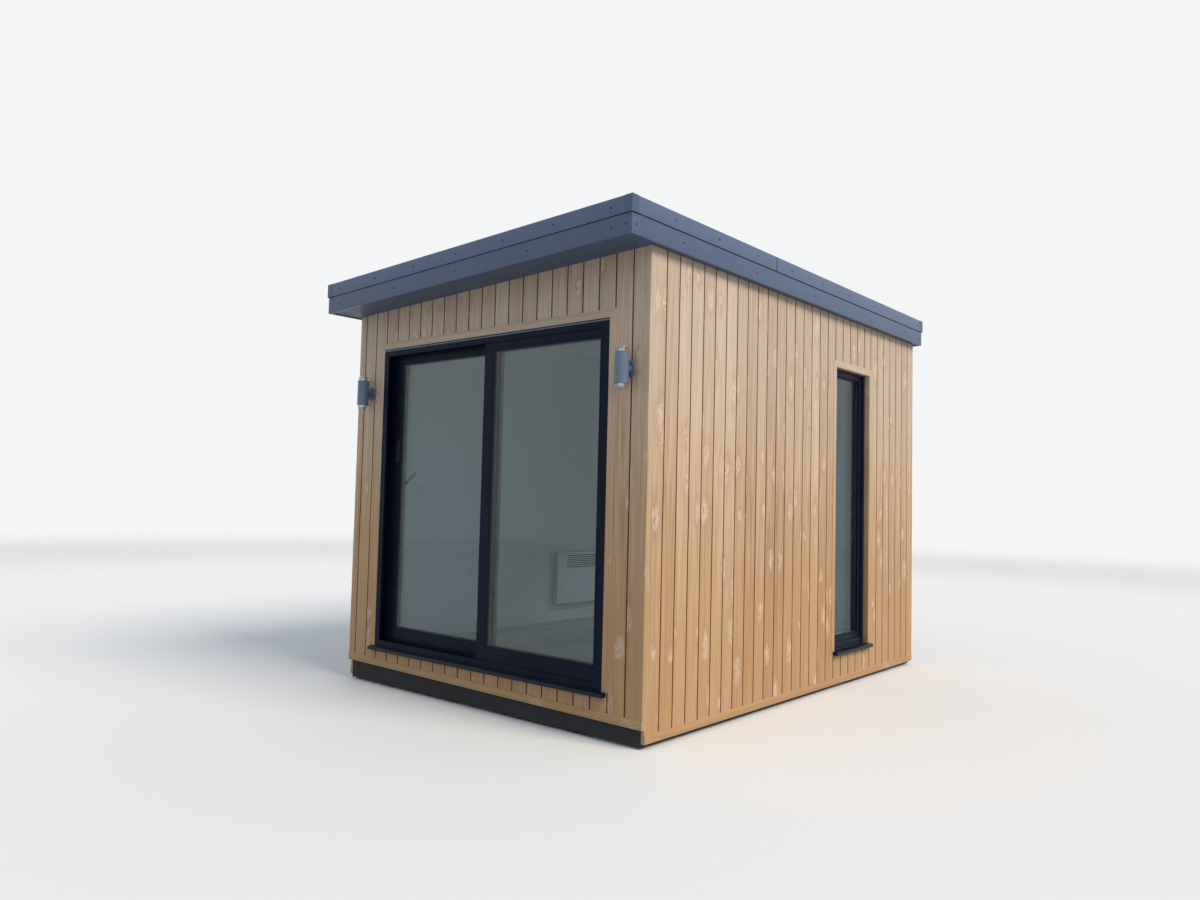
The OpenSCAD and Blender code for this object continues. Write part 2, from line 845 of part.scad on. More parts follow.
module window_glass() {
    x = window_x1 - window_glass_in;
    color("lightblue")
        box([x - glazing_thk, x], pane_y, pane_z);
}

module window_sill() {
    nose_x = right_x + sill_nose;
    color("black") {
        along_y([window_y0 - window_sill_past, window_y1 + window_sill_past], [
            [nose_x, wall_z], [nose_x - drip_thk, wall_z], [nose_x - drip_thk, wall_z + drip_h],
            [right_x, wall_z + drip_h], [right_x, base_z], [nose_x, base_z - sill_fall]]);
        box([window_x1, right_x], [window_y0, window_y1], [wall_z, base_z]);
    }
}

module wall_lamp(x) {
    translate([x, front_y - lamp_reach, lamp_z - lamp_body_h / 2])
        cylinder(d = lamp_d, h = lamp_body_h);
    translate([x, front_y, lamp_z])
        rotate([90, 0, 0]) {
            cylinder(d = lamp_plate_d, h = lamp_plate_thk);
            cylinder(d = lamp_arm_d, h = lamp_reach);
        }
}

module wall_lamps() {
    color("dimgray") {
        wall_lamp(left_x + lamp_left_margin);
        wall_lamp(right_x - lamp_right_margin);
    }
}

module lamp_lenses() {
    color("lightgray")
        for (x = [left_x + lamp_left_margin, right_x - lamp_right_margin],
             z = [lamp_z - lamp_body_h / 2 - lamp_lens_h, lamp_z + lamp_body_h / 2])
            translate([x, front_y - lamp_reach, z])
                cylinder(d = lamp_d - 2 * lens_inset, h = lamp_lens_h);
}

// A panel heater with a grille of level slots in its upper face
module panel_heater() {
    x = [left_x + wall_thk, left_x + wall_thk + heater_depth];
    y = [front_y + heater_offset, front_y + heater_offset + heater_w];
    z = [floor_z + heater_rise, floor_z + heater_rise + heater_h];
    color("white")
        difference() {
            box(x, y, z);
            for (i = [0:louvre_count - 1])
                box([x[1] - louvre_deep, x[1] + through],
                    [y[0] + louvre_side, y[1] - louvre_side],
                    [z[1] - louvre_top - i * louvre_pitch - louvre_slot,
                     z[1] - louvre_top - i * louvre_pitch]);
        }
}

// The light switch and the double socket on the left wall
module wall_plates() {
    x = [left_x + wall_thk, left_x + wall_thk + plate_deep];
    y = [front_y + switch_offset, front_y + socket_offset];
    z = [floor_z + switch_rise, floor_z + socket_rise];
    color("white") {
        box(x, [y[0], y[0] + plate_size], [z[0], z[0] + plate_size]);
        box(x, [y[1], y[1] + socket_len], [z[1], z[1] + plate_size]);
    }
}

base_pads();
floor_frame();
plinth();
floor_deck();
floor_finish();
front_wall_left();
front_wall_right();
front_wall_head();
left_wall();
back_wall();
right_wall();
front_cladding();
left_cladding();
back_cladding();
right_cladding();
corner_trims();
base_trims();
opening_trims();
inner_linings();
skirting();
ceiling();
soffit();
roof_deck();
roof_membrane();
fascia();
edge_trim();
corner_covers();
door_sill();
door_threshold();
door_head();
door_jambs();
fixed_panel();
fixed_glass();
sliding_panel();
sliding_glass();
rollers();
pull_handle();
lever_plate();
lever_handle();
window_frame();
window_glass();
window_sill();
wall_lamps();
lamp_lenses();
panel_heater();
wall_plates();
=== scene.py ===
# %% [markdown]
# # A timber-clad garden office pod
# The room stands on pads and has narrow vertical boards outside, a two-tier metal roof
# edge, a sliding patio door with two glazed panels, a tall side window and two wall
# lamps. The packed frame gives the main sizes and places. This lesson dresses it:
# boards, metal sections, glass and finishes, worked out with numpy and shader maths.

# %% Start from the packed frame
import math

import bmesh
import bpy
import numpy as np
from mathutils import Matrix, Vector


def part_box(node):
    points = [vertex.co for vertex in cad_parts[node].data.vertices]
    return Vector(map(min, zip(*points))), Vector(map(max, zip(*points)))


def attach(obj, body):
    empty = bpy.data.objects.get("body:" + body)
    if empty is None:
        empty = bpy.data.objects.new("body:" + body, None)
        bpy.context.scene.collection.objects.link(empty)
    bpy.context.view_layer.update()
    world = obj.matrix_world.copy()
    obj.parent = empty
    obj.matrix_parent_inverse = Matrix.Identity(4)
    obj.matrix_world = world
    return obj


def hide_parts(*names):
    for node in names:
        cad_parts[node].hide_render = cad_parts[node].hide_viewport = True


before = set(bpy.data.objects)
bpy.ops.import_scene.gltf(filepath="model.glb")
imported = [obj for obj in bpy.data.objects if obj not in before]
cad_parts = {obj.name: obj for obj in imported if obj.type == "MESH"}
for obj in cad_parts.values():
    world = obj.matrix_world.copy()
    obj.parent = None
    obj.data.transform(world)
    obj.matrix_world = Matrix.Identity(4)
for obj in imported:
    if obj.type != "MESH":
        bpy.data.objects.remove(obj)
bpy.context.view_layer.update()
random = np.random.default_rng(7)

# %% [markdown]
# ## Where things are
# Nearly every place comes from the boxes of the packed nodes, so the pieces meet the
# solids that carry them. The roof falls one in twenty-seven to the left, so the soffit's
# height is a straight line in x. The front wall's foot is a straight line in x as well,
# 26 mm higher at its left end.

# %% Walls, openings and the roof's fall
MM = 0.001
seat = 0.3 * MM
front_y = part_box("front_cladding")[0].y
back_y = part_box("back_cladding")[1].y
right_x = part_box("right_cladding")[1].x
left_x = -right_x
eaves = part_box("right_cladding")[1].z + seat
roof_fall = 27
wall_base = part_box("back_wall")[0].z
side_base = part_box("right_cladding")[0].z
foot_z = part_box("base_trims")[0].z
front_base_right, front_base_left = 102 * MM, 128 * MM

door_x0, door_x1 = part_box("door_head")[0].x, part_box("door_head")[1].x
door_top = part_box("door_head")[1].z
door_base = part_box("door_threshold")[0].z
pane_low, pane_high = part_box("window_glass")
frame_beside_pane, frame_over_pane = 68 * MM, 49 * MM
window_y0, window_y1 = pane_low.y - frame_beside_pane, pane_high.y + frame_beside_pane
window_top = pane_high.z + frame_over_pane

board_pitch, board_thk = 116 * MM, 20 * MM
trim_w, trim_proud, corner_w = 45 * MM, 3 * MM, 42 * MM
board_over = trim_w + seat


def soffit_z(x):
    """Height of the soffit at x: the eaves less the distance from the right wall divided by the fall."""
    return eaves - (right_x - np.asarray(x)) / roof_fall


def front_base_z(x):
    """Height of the front wall's foot at x: a straight line from the right end to the left end."""
    rise = front_base_left - front_base_right
    return front_base_right + rise * (right_x - np.asarray(x)) / (right_x - left_x)


print("eaves", round(eaves, 4), "door", round(door_x0, 3), round(door_x1, 3),
      "window", round(window_y0, 3), round(window_y1, 3))

# %% [markdown]
# ## The camera
# The picture was taken from a step to the right of the near corner, a little below the
# middle of the wall's height. The place, the three turns and the focal length were solved
# from the pod's own edges. A Blender camera looks along its own -Z, so the solved turns,
# which look along +Y, are followed by a quarter turn about X.

# %% Camera at the picture's viewing angle
standpoint = Vector((3.9813, -5.2441, 1.2464))
yaw, pitch, roll = (math.radians(degrees) for degrees in (40.3602, 3.1309, -1.3667))
focal_pixels, picture_pixels, film_width = 894.4156, 1200, 36.0
lens_data = bpy.data.cameras.new("picture_view")
lens_data.sensor_fit = "HORIZONTAL"
lens_data.sensor_width = film_width
lens_data.lens = focal_pixels / picture_pixels * film_width
lens_data.clip_end = 200
camera = bpy.data.objects.new("picture_view", lens_data)
aim = (Matrix.Rotation(yaw, 4, "Z") @ Matrix.Rotation(pitch, 4, "X")
       @ Matrix.Rotation(roll, 4, "Y") @ Matrix.Rotation(math.pi / 2, 4, "X"))
camera.matrix_world = Matrix.Translation(standpoint) @ aim
bpy.context.scene.collection.objects.link(camera)
bpy.context.scene.camera = camera
print("lens", round(lens_data.lens, 2), "mm")

# %% [markdown]
# ## Shader maths as plain expressions
# A material is easier to read as a sum than as a drawing of boxes. `Sock` wraps a node's
# output, and each operator adds the Math node that does that sum. The reflected forms
# let a plain number come first, as in `1 - mask`.


# %% A socket with operators
class Sock:
    """One output of a node, used in expressions."""

    def __init__(self, nodes, socket):
        self.nodes = nodes
        self.socket = socket

    def op(self, operation, *others):
        """A Math node: the operation on this output and the others, in order."""
        return self.nodes.math(operation, self, *others)

    def __add__(self, other):
        return self.op("ADD", other)

    def __radd__(self, other):
        return self.nodes.math("ADD", other, self)

    def __sub__(self, other):
        return self.op("SUBTRACT", other)

    def __rsub__(self, other):
        return self.nodes.math("SUBTRACT", other, self)

    def __mul__(self, other):
        return self.op("MULTIPLY", other)

    def __rmul__(self, other):
        return self.nodes.math("MULTIPLY", other, self)

    def __truediv__(self, other):
        return self.op("DIVIDE", other)

    def __pow__(self, other):
        return self.op("POWER", other)

    def part(self, axis):
        """One part of a vector: 0, 1 or 2 for x, y or z."""
        return self.nodes.node("ShaderNodeSeparateXYZ", {}, {0: self}, axis)

    def step(self, low, high):
        """0 below low, 1 above high, and 3 t t - 2 t t t between them, where t runs from 0 to 1."""
        return self.nodes.node("ShaderNodeMapRange", {"interpolation_type": "SMOOTHSTEP", "clamp": True},
                               {0: self, 1: low, 2: high})


print("reflected operators", [name for name in vars(Sock) if name.startswith("__r")])

# %% [markdown]
# ## One method for any other node
# `Nodes` holds the node tree of one material, or of the world. Its `node` method makes
# any node from its type, its settings and the values or links of its sockets. Settings
# come first, because a node's kind of sum decides which sockets it has.


# %% A node tree
class Nodes:
    """The node tree of a material or a world, emptied, with its output node."""

    def __init__(self, owner, output_kind="ShaderNodeOutputMaterial"):
        owner.use_nodes = True
        self.owner = owner
        self.tree = owner.node_tree
        self.tree.nodes.clear()
        self.out = self.tree.nodes.new(output_kind)

    def node(self, kind, settings=None, values=None, output=0):
        """Make a node, give it its settings, feed its sockets, and return one output for expressions."""
        made = self.tree.nodes.new(kind)
        for name, value in (settings or {}).items():
            if name == "stops":
                self._stops(made.color_ramp.elements, value)
            else:
                setattr(made, name, value)
        for name, value in (values or {}).items():
            self._feed(made.inputs[name], value)
        return Sock(self, made.outputs[output])

    def _stops(self, elements, stops):
        """Give a ramp as many stops as asked, each with its place and its colour."""
        while len(elements) < len(stops):
            elements.new(0.5)
        for element, (place, colour) in zip(elements, stops):
            element.position = place
            element.color = (*colour, 1.0)

    def _feed(self, socket, value):
        """Link an expression to the socket, or write a value there. A colour gets its fourth part, 1."""
        if isinstance(value, Sock):
            self.tree.links.new(value.socket, socket)
        elif isinstance(value, tuple) and socket.type == "RGBA" and len(value) == 3:
            socket.default_value = (*value, 1.0)
        else:
            socket.default_value = value

    def surface(self, shader):
        """Send this shader to the output."""
        self._feed(self.out.inputs["Surface"], shader)

    def math(self, operation, *values):
        """A Math node: the operation on the values in order."""
        return self.node("ShaderNodeMath", {"operation": operation}, dict(enumerate(values)))


print("a node tree can", [name for name in vars(Nodes) if not name.startswith("_")])

# %% [markdown]
# ## Short names for the nodes used most
# These methods name the few kinds of node that this object uses again and again: where a
# point is, noise, a mix of two colours and a ramp. Each is one call of `node`, so a
# finish reads as a recipe.


# %% Patterns
class Patterns(Nodes):
    """A node tree with short names for its commonest nodes."""

    def place(self):
        """Object coordinates: metres in the pod's own frame."""
        return self.node("ShaderNodeTexCoord", {}, {}, "Object")

    def scaled(self, vector, scale):
        """Each part of the vector times the same part of the scale."""
        return self.node("ShaderNodeVectorMath", {"operation": "MULTIPLY"}, {0: vector, 1: scale})

    def vector(self, x, y, z=0.0):
        """Three numbers or expressions as one vector."""
        return self.node("ShaderNodeCombineXYZ", {}, {0: x, 1: y, 2: z})

    def noise(self, vector, scale=1.0, detail=2.0, roughness=0.5):
        """Soft noise round 0.5, with scale features per metre and detail finer layers on top."""
        return self.node("ShaderNodeTexNoise", {"noise_dimensions": "3D"},
                         {"Vector": vector, "Scale": scale, "Detail": detail, "Roughness": roughness})

    def flecks(self, u, v, per_metre, detail=2.0, roughness=0.5):
        """Noise over the flat map (u, v), with its own number of features per metre each way."""
        return self.noise(self.vector(u * per_metre[0], v * per_metre[1]), 1.0, detail, roughness)

    def mix(self, factor, first, second):
        """Colour = first times (1 - factor) + second times factor."""
        return self.node("ShaderNodeMix", {"data_type": "RGBA", "clamp_factor": True},
                         {0: factor, 6: first, 7: second}, 2)

    def ramp(self, factor, *stops):
        """The colour at the factor's place on straight lines between the stops."""
        return self.node("ShaderNodeValToRGB", {"stops": stops}, {0: factor})

    def seen(self):
        """1 for a ray from the camera, a gloss or a clear surface, 0 for any other: the largest of three."""
        direct = self.node("ShaderNodeLightPath", {}, {}, "Is Camera Ray")
        for ray in ("Is Glossy Ray", "Is Transmission Ray"):
            direct = direct.op("MAXIMUM", self.node("ShaderNodeLightPath", {}, {}, ray))
        return direct


print("patterns", [name for name in vars(Patterns) if not name.startswith("_")])

# %% [markdown]
# ## A material
# Nearly every finish is one Principled shader, and only what feeds it differs: a colour,
# a roughness and a bump. What is the same all over goes straight to the shader's own
# sockets, when the finish is made.


# %% Finish
class Finish(Patterns):
    """A material: one Principled shader, and what feeds it."""

    def __init__(self, name, roughness=0.5, metallic=0.0, **sockets):
        super().__init__(bpy.data.materials.new(name))
        self.shader = self.node("ShaderNodeBsdfPrincipled")
        self.surface(self.shader)
        self.set("Roughness", roughness)
        self.set("Metallic", metallic)
        for socket, value in sockets.items():
            self.set(socket.replace("_", " "), value)

    def set(self, name, value):
        """Feed one socket of the shader."""
        self._feed(self.shader.socket.node.inputs[name], value)

    def bump(self, height, distance, strength=1.0):
        """Tilt the normal by the slope of height times distance, in metres."""
        self.set("Normal", self.node("ShaderNodeBump", {}, {
            "Height": height, "Distance": distance, "Strength": strength}))


def toned(colour, factors):
    """Each part of a colour times its own factor, or all of them times the same one, and no part over 1."""
    return tuple(min(1.0, float(part)) for part in np.asarray(colour) * factors)


print("a toned colour", toned((0.5, 0.4, 0.3), 0.5))

# %% [markdown]
# ## Timber
# The boards are heat-treated softwood, oiled honey brown. Up close a board has a tone of
# its own, long soft streaks, fine pores, arched growth rings where the saw ran flat
# through the log, and here and there a knot: curly cream wisps round a rosy middle, now
# and then with a dark pith, and the grain flows round it. A photograph of planks could
# be wrapped round the walls, but it would repeat and blur. Shader maths stays sharp from
# any distance, and no two boards are the same. The grain runs along each board, so the
# pattern reads the board's own map (across and along, in metres) and a tone that each
# board carries.

# %% Knots
cells_per_metre = (8.6, 1.75)
# Squares of radii in metres: the knot is an oval of 28 by 60 mm, and its eye one of 11 by 20 mm
oval_squares = (0.00080, 0.0036)
eye_squares = (0.00012, 0.00042)


def knot_zones(f, across, along, amount):
    """Zones of the knot in each cell of a stretched Voronoi pattern.

    Reach = the root of (u squared / the oval's first square + v squared / its second), where (u, v) is
    the offset from the cell's point with noise added. Each zone fades as the reach grows. A random
    number of the cell says whether a knot is there, and another one its size and its eye's place."""
    cell = f.vector(across * cells_per_metre[0], along * cells_per_metre[1])
    spot = f.node("ShaderNodeTexVoronoi", {"voronoi_dimensions": "2D", "feature": "F1"},
                  {"Vector": cell, "Scale": 1.0, "Randomness": 0.9}, "Position")
    chance = f.node("ShaderNodeTexWhiteNoise", {"noise_dimensions": "2D"}, {"Vector": spot}, "Value")
    other = (chance * 7.31).op("FRACT")
    away = f.node("ShaderNodeVectorMath", {"operation": "SUBTRACT"}, {0: cell, 1: spot})
    dx, dy = away.part(0) / cells_per_metre[0], away.part(1) / cells_per_metre[1]
    cloud = f.flecks(across, along, (60.0, 24.0), 3.0, 0.60) - 0.5
    push = f.flecks(across, along, (21.0, 9.0)) - 0.5
    pull = f.noise(f.vector(across * 19.0 + 7.3, along * 8.0 + 3.1)) - 0.5
    ux, uy = dx + push * 0.040, dy + pull * 0.130
    reach = ((ux * ux / oval_squares[0] + uy * uy / oval_squares[1]) ** 0.5) / (0.70 + other * 0.75)
    ex, ey = ux + (other - 0.5) * 0.030, uy + (chance - 0.6) * 0.070
    turns = (ex * ex / eye_squares[0] + ey * ey / eye_squares[1]) ** 0.5 + cloud * 0.9
    wisps = f.noise(f.vector(across * 120.0 + push * 3.0, along * 30.0 + pull * 4.0), 1.0, 3.0, 0.62)
    exists = chance.step(0.20, 0.26) * amount
    return {
        "patch": (1.0 - (reach + cloud * 1.2).step(0.35, 1.25)) * wisps.step(0.36, 0.56) * exists,
        "halo": (1.0 - (reach + cloud * 0.8).step(0.9, 2.3)) * exists,
        "curl": (1.0 - wisps.step(0.34, 0.46)) * (1.0 - reach.step(0.5, 1.5)) * exists,
        "eye": (1.0 - turns.step(0.55, 1.05)) * exists,
        "pith": (1.0 - turns.step(0.10, 0.40)) * other.step(0.62, 0.70) * exists,
        "bent": across - dx * (1.0 - reach.step(0.2, 2.0)) * 0.65 * exists}


print("knots: about", round(cells_per_metre[0] * cells_per_metre[1] * 0.75), "in a square metre")

# %% [markdown]
# ## The grain between the knots
# The grain is several noises laid over each other, each stretched along the board: wide
# soft streaks, growth lines, short dark marks and pores. Where a knot is near, the place
# across the board is pushed aside first, so every line swerves round it. The arches are
# rings round the log's heart, cut by the board's face: the sine of the distance from a
# heart that wanders nearer and farther behind the board.

# %% Streaks, lines and rings
arches_per_metre = 8.62


def grain_fields(f, across, along, bent):
    """Ring = the sine of (36 times the root of (lean squared + 1.4 depth squared) + 5 times a slow bend).

    Lean is the place across the arch, and depth is how far behind the face the heart lies."""
    streaks = f.flecks(bent, along, (38.0, 0.9), 3.0, 0.6)
    lines = f.flecks(bent, along, (150.0, 1.3), 2.0, 0.55)
    marks = f.flecks(bent, along, (190.0, 11.0), 2.0, 0.6).step(0.60, 0.76)
    pores = f.flecks(bent, along, (420.0, 9.0), 2.0, 0.6)
    blotch = f.flecks(across, along, (7.0, 2.2))
    depth = f.flecks(across, along, (0.15, 0.55), 1.0) - 0.25
    bend = f.flecks(bent, along, (16.0, 1.7))
    lean = (bent * arches_per_metre).op("FRACT") - 0.5
    rings = (((lean * lean + depth ** 2.0 * 1.4) ** 0.5) * 36.0 + bend * 5.0).op("SINE") * 0.5 + 0.5
    return streaks, lines, marks, pores, blotch, rings


print("arches every", round(1000 / arches_per_metre), "mm")

# %% [markdown]
# ## Height tint, and the whole of the timber
# All the fields add up to one number, which a ramp turns from deep over middle to pale
# brown. The colour turns greyer towards the top of the wall and darker and warmer towards
# the foot, so the height mixes in two more colours. The sides of the grooves carry a tone
# below zero, and the shader turns that to dark brown, as painted shade in the grooves.


# %% Timber finish
def timber(name, pale, mid, deep, knots=1.0):
    """Colour = a ramp of tone + streaks + lines + rings, then a tint by height, then the knots and marks."""
    f = Finish(name, roughness=0.62)
    grain = f.node("ShaderNodeUVMap", {"uv_map": "grain"})
    across, along = grain.part(0), grain.part(1)
    tone = f.node("ShaderNodeAttribute", {"attribute_type": "GEOMETRY", "attribute_name": "tone"}, {}, "Fac")
    height = f.place().part(2).step(0.3, 2.3)
    knot = knot_zones(f, across, along, knots)
    streaks, lines, marks, pores, blotch, rings = grain_fields(f, across, along, knot["bent"])
    shade = (tone * 0.50 + streaks * 0.78 + lines * 0.82 + rings * 0.20 + blotch * 0.24
             + height * 0.08 - 0.83)
    colour = f.ramp(shade, (0.12, deep), (0.5, mid), (0.9, pale))
    # Greyer towards the top of the wall, and darker and warmer towards the foot.
    plain_grey = toned(sum(pale) / 3, (0.495, 0.465, 0.44))
    top_grey = tuple(0.42 * part + grey for part, grey in zip(pale, plain_grey))
    colour = f.mix(height ** 2.0 * 0.50, colour, top_grey)
    colour = f.mix((1.0 - height) ** 2.0 * 0.68, colour, toned(mid, (0.84, 0.73, 0.56)))
    rosy = toned(mid, (0.80, 0.68, 0.66))
    colour = f.mix(knot["halo"] * 0.34, colour, rosy)
    colour = f.mix(knot["patch"] * (0.62 + height * 0.22), colour, toned(pale, (1.06, 1.14, 1.28)))
    colour = f.mix(knot["curl"] * 0.44, colour, rosy)
    colour = f.mix(knot["eye"] * 0.30, colour, rosy)
    colour = f.mix(knot["pith"] * 0.66, colour, toned(deep, 0.40))
    colour = f.mix(marks * 0.46, colour, deep)
    colour = f.mix(pores.step(0.52, 0.80) * 0.16, colour, deep)
    # Painted shade: the sides of the grooves are darkened to dark brown.
    groove = 1.0 - tone.step(-0.5, 0.0)
    f.set("Base Color", f.mix(groove * 0.70, colour, toned(deep, (0.82, 0.60, 0.52))))
    f.set("Roughness", 0.56 + streaks * 0.16)
    f.bump(pores * 0.35 + rings * 0.25 + lines * 0.6 - knot["eye"] * 0.8, 0.0009, 0.8)
    return f.owner


cladding_wood = timber("cladding_wood", (0.745, 0.527, 0.322), (0.565, 0.350, 0.177), (0.320, 0.162, 0.073))
trim_wood = timber("trim_wood", (0.720, 0.508, 0.306), (0.555, 0.346, 0.175), (0.33, 0.170, 0.077), knots=0.5)
print("timber nodes", len(cladding_wood.node_tree.nodes))

# %% [markdown]
# ## Powder coat
# The roof edge, the door, the sills and the lamps are coated metal. Such a coat is one
# even colour, and what shows is a little dust, soft upright washes left by rain, and the
# fine orange peel of the powder. The peel is far too small to model, so it is a bump.


# %% Powder coats
def powder_coat(name, colour, roughness, dust=0.12, **sockets):
    """Colour = the coat's own, paler by the dust where two noises add up high. The peel is a fine bump."""
    f = Finish(name, roughness=roughness, **sockets)
    at = f.place()
    cloud = f.noise(at, 2.2, 4.0, 0.6)
    wash = f.noise(f.scaled(at, (9.0, 9.0, 1.3)), 1.0, 3.0, 0.6)
    peel = f.noise(at, 900.0, 1.0)
    mask = (cloud * 0.55 + wash * 0.45).step(0.42, 0.72)
    f.set("Base Color", f.mix(mask * 0.45, colour, tuple(part + dust * 0.35 for part in colour)))
    f.set("Roughness", roughness + mask * 0.14 + (peel - 0.5) * 0.05)
    f.bump(peel, 0.06 * MM)
    return f.owner


anthracite = powder_coat("anthracite_coat", (0.056, 0.087, 0.158), 0.34, 0.08)
edge_coat = powder_coat("edge_coat", (0.072, 0.108, 0.192), 0.30, 0.14)
anthracite_cover = powder_coat("anthracite_cover", (0.054, 0.083, 0.150), 0.30, 0.08)
soffit_coat = powder_coat("soffit_coat", (0.054, 0.090, 0.168), 0.45, 0.05)
frame_black = powder_coat("frame_black", (0.0036, 0.0080, 0.0200), 0.34, 0.010, Specular_IOR_Level=0.08)
sill_black = powder_coat("sill_black", (0.0036, 0.0070, 0.0155), 0.30, 0.018, Specular_IOR_Level=0.20)
lamp_grey = powder_coat("lamp_grey", (0.125, 0.165, 0.225), 0.24, 0.04)
pull_grey = powder_coat("pull_grey", (0.040, 0.048, 0.064), 0.30, 0.05)
screw_dark = powder_coat("screw_dark", (0.010, 0.012, 0.016), 0.36, 0.015, Specular_IOR_Level=0.3)
print("coats", anthracite.name, frame_black.name, lamp_grey.name)

# %% [markdown]
# ## Bare metal
# The rollers under the sliding panel are steel, and the bulbs in the lamps are chromed.
# Both were turned, so their gloss is drawn out in fine rings. A noise that is squeezed
# hard in z gives such rings on an upright tube, and costs one node.


# %% Steel and chrome
def metal(name, colour, roughness):
    """Colour and gloss follow a noise with 1400 lines per metre in z and 40 across."""
    f = Finish(name, roughness=roughness, metallic=1.0)
    lines = f.noise(f.scaled(f.place(), (40.0, 40.0, 1400.0)))
    f.set("Base Color", f.mix(lines, toned(colour, 0.82), colour))
    f.set("Roughness", roughness + (lines - 0.5) * 0.14)
    f.bump(lines, 0.04 * MM)
    return f.owner


steel = metal("steel", (0.62, 0.62, 0.64), 0.30)
bulb_chrome = metal("bulb_chrome", (0.78, 0.78, 0.77), 0.16)
print("metals", steel.name, bulb_chrome.name)

# %% [markdown]
# ## Rubber and bitumen
# The glazing gaskets, the roof sheet and the board behind the base are soft black
# stuffs. They are never quite black: a pale bloom lies on them in patches, over a fine
# grain. The same two noises do for all three, at other scales.


# %% Gasket, roof sheet and base board
def rubber_like(name, colour, roughness, grain_scale, height, patch=1.4):
    """Colour = the stuff's own, 1.7 times paler where the bloom's noise is high, over a fine grain."""
    f = Finish(name, roughness=roughness)
    at = f.place()
    bloom = f.noise(at, patch, 4.0, 0.62)
    skin = f.noise(at, grain_scale)
    f.set("Base Color", f.mix(bloom.step(0.35, 0.75), colour, tuple(part * 1.7 + 0.004 for part in colour)))
    f.set("Roughness", roughness + bloom * 0.16 - 0.06)
    f.bump(skin * 0.6 + bloom, height)
    return f.owner


gasket_rubber = rubber_like("gasket_rubber", (0.010, 0.010, 0.011), 0.62, 500.0, 0.1 * MM)
roof_rubber = rubber_like("roof_rubber", (0.035, 0.036, 0.038), 0.72, 160.0, 1.2 * MM, 1.1)
# The base board's black is partly its black membrane and partly painted shade for the gap under the walls.
plinth_black = rubber_like("plinth_black", (0.012, 0.012, 0.013), 0.80, 90.0, 0.6 * MM)
print("soft blacks", gasket_rubber.name, roof_rubber.name, plinth_black.name)

# %% [markdown]
# ## Painted walls and fittings
# Inside, the walls and the ceiling are plastered and rolled white, and the skirting, the
# switches and the heater have a harder, glossier white. Flat white looks like paper, so
# each has the stipple that a roller leaves, and clouds so faint that one hardly sees
# them. The dark spacer bars in the glazing take the same finish in another colour.


# %% Roller paint
def roller_paint(name, colour, roughness=0.55):
    """Colour = the paint's own, up to 3 % darker in faint clouds, over a stipple of 210 bumps per metre."""
    f = Finish(name, roughness=roughness)
    at = f.place()
    cloud = f.noise(at, 1.3, 3.0)
    stipple = f.noise(at, 210.0)
    f.set("Base Color", f.mix(cloud.step(0.35, 0.7) * 0.5, colour, toned(colour, 0.94)))
    f.set("Roughness", roughness + (stipple - 0.5) * 0.1)
    f.bump(stipple, 0.35 * MM)
    return f.owner


wall_white = roller_paint("wall_white", (0.86, 0.865, 0.85))
gloss_white = roller_paint("gloss_white", (0.80, 0.80, 0.79), 0.30)
heater_white = roller_paint("heater_white", (0.84, 0.845, 0.84), 0.38)
# Painted shade: this grey darkens the heater's sides and a strip under its front.
heater_side_shade = roller_paint("heater_side_shade", (0.20, 0.21, 0.22), 0.45)
spacer_black = roller_paint("spacer_black", (0.030, 0.033, 0.038), 0.40)
print("paints", wall_white.name, gloss_white.name, heater_white.name, heater_side_shade.name, spacer_black.name)

# %% [markdown]
# ## The laminate floor
# The floor is pale laminate that looks like limed oak: planks in rows along the room,
# each row shifted against the last. The planks could be modelled one by one, but their
# joints are only thin lines, so the shader draws them: the whole part of a place says
# which plank it is in, and a fraction near zero is a joint.

# %% Laminate
plank_wide, plank_long, row_shift = 0.19, 1.26, 0.37
joint_across, joint_along = 0.018, 0.0030


def laminate(name):
    """Row = the whole part of x / width, plank = the whole part of y / length + shift times row."""
    f = Finish(name, roughness=0.38)
    at = f.place()
    x, y = at.part(0) / plank_wide, at.part(1) / plank_long
    row = x.op("FLOOR")
    shifted = y + row * row_shift
    which = f.vector(row, shifted.op("FLOOR"))
    tone = f.node("ShaderNodeTexWhiteNoise", {"noise_dimensions": "2D"}, {"Vector": which}, "Value")
    grain = f.noise(f.scaled(at, (52.0, 2.6, 1.0)), 1.0, 4.0, 0.6)
    long_joint = x.op("FRACT").op("COMPARE", 0.0, joint_across)
    end_joint = shifted.op("FRACT").op("COMPARE", 0.0, joint_along)
    seam = long_joint.op("MAXIMUM", end_joint)
    colour = f.ramp(tone * 0.45 + grain * 0.55, (0.2, (0.27, 0.225, 0.175)), (0.8, (0.47, 0.415, 0.345)))
    f.set("Base Color", f.mix(seam * 0.85, colour, (0.07, 0.055, 0.04)))
    f.set("Roughness", 0.32 + grain * 0.14)
    f.bump(grain * 0.3 - seam, 0.6 * MM)
    return f.owner


floor_oak = laminate("floor_oak")
print("planks", plank_wide, "by", plank_long, "m")

# %% [markdown]
# ## Concrete and sawn timber
# The pads, the floor's joists and the boards on them are rough and mostly hidden. Two
# tones mixed by a coarse and a fine noise are enough, and a stretch turns the clouds of
# concrete into the grain of sawn timber.


# %% Rough solids
def rough_solid(name, pale, deep, scale, height, roughness, stretch=(1.0, 1.0, 1.0)):
    """Colour = deep to pale by 0.7 of a coarse noise and 0.3 of one that is 14 times finer."""
    f = Finish(name, roughness=roughness)
    at = f.scaled(f.place(), stretch)
    coarse = f.noise(at, scale, 5.0, 0.65)
    fine = f.noise(at, scale * 14.0, 3.0)
    f.set("Base Color", f.mix((coarse * 0.7 + fine * 0.3).step(0.3, 0.7), deep, pale))
    f.set("Roughness", roughness + (fine - 0.5) * 0.12)
    f.bump(coarse * 0.6 + fine * 0.4, height)
    return f.owner


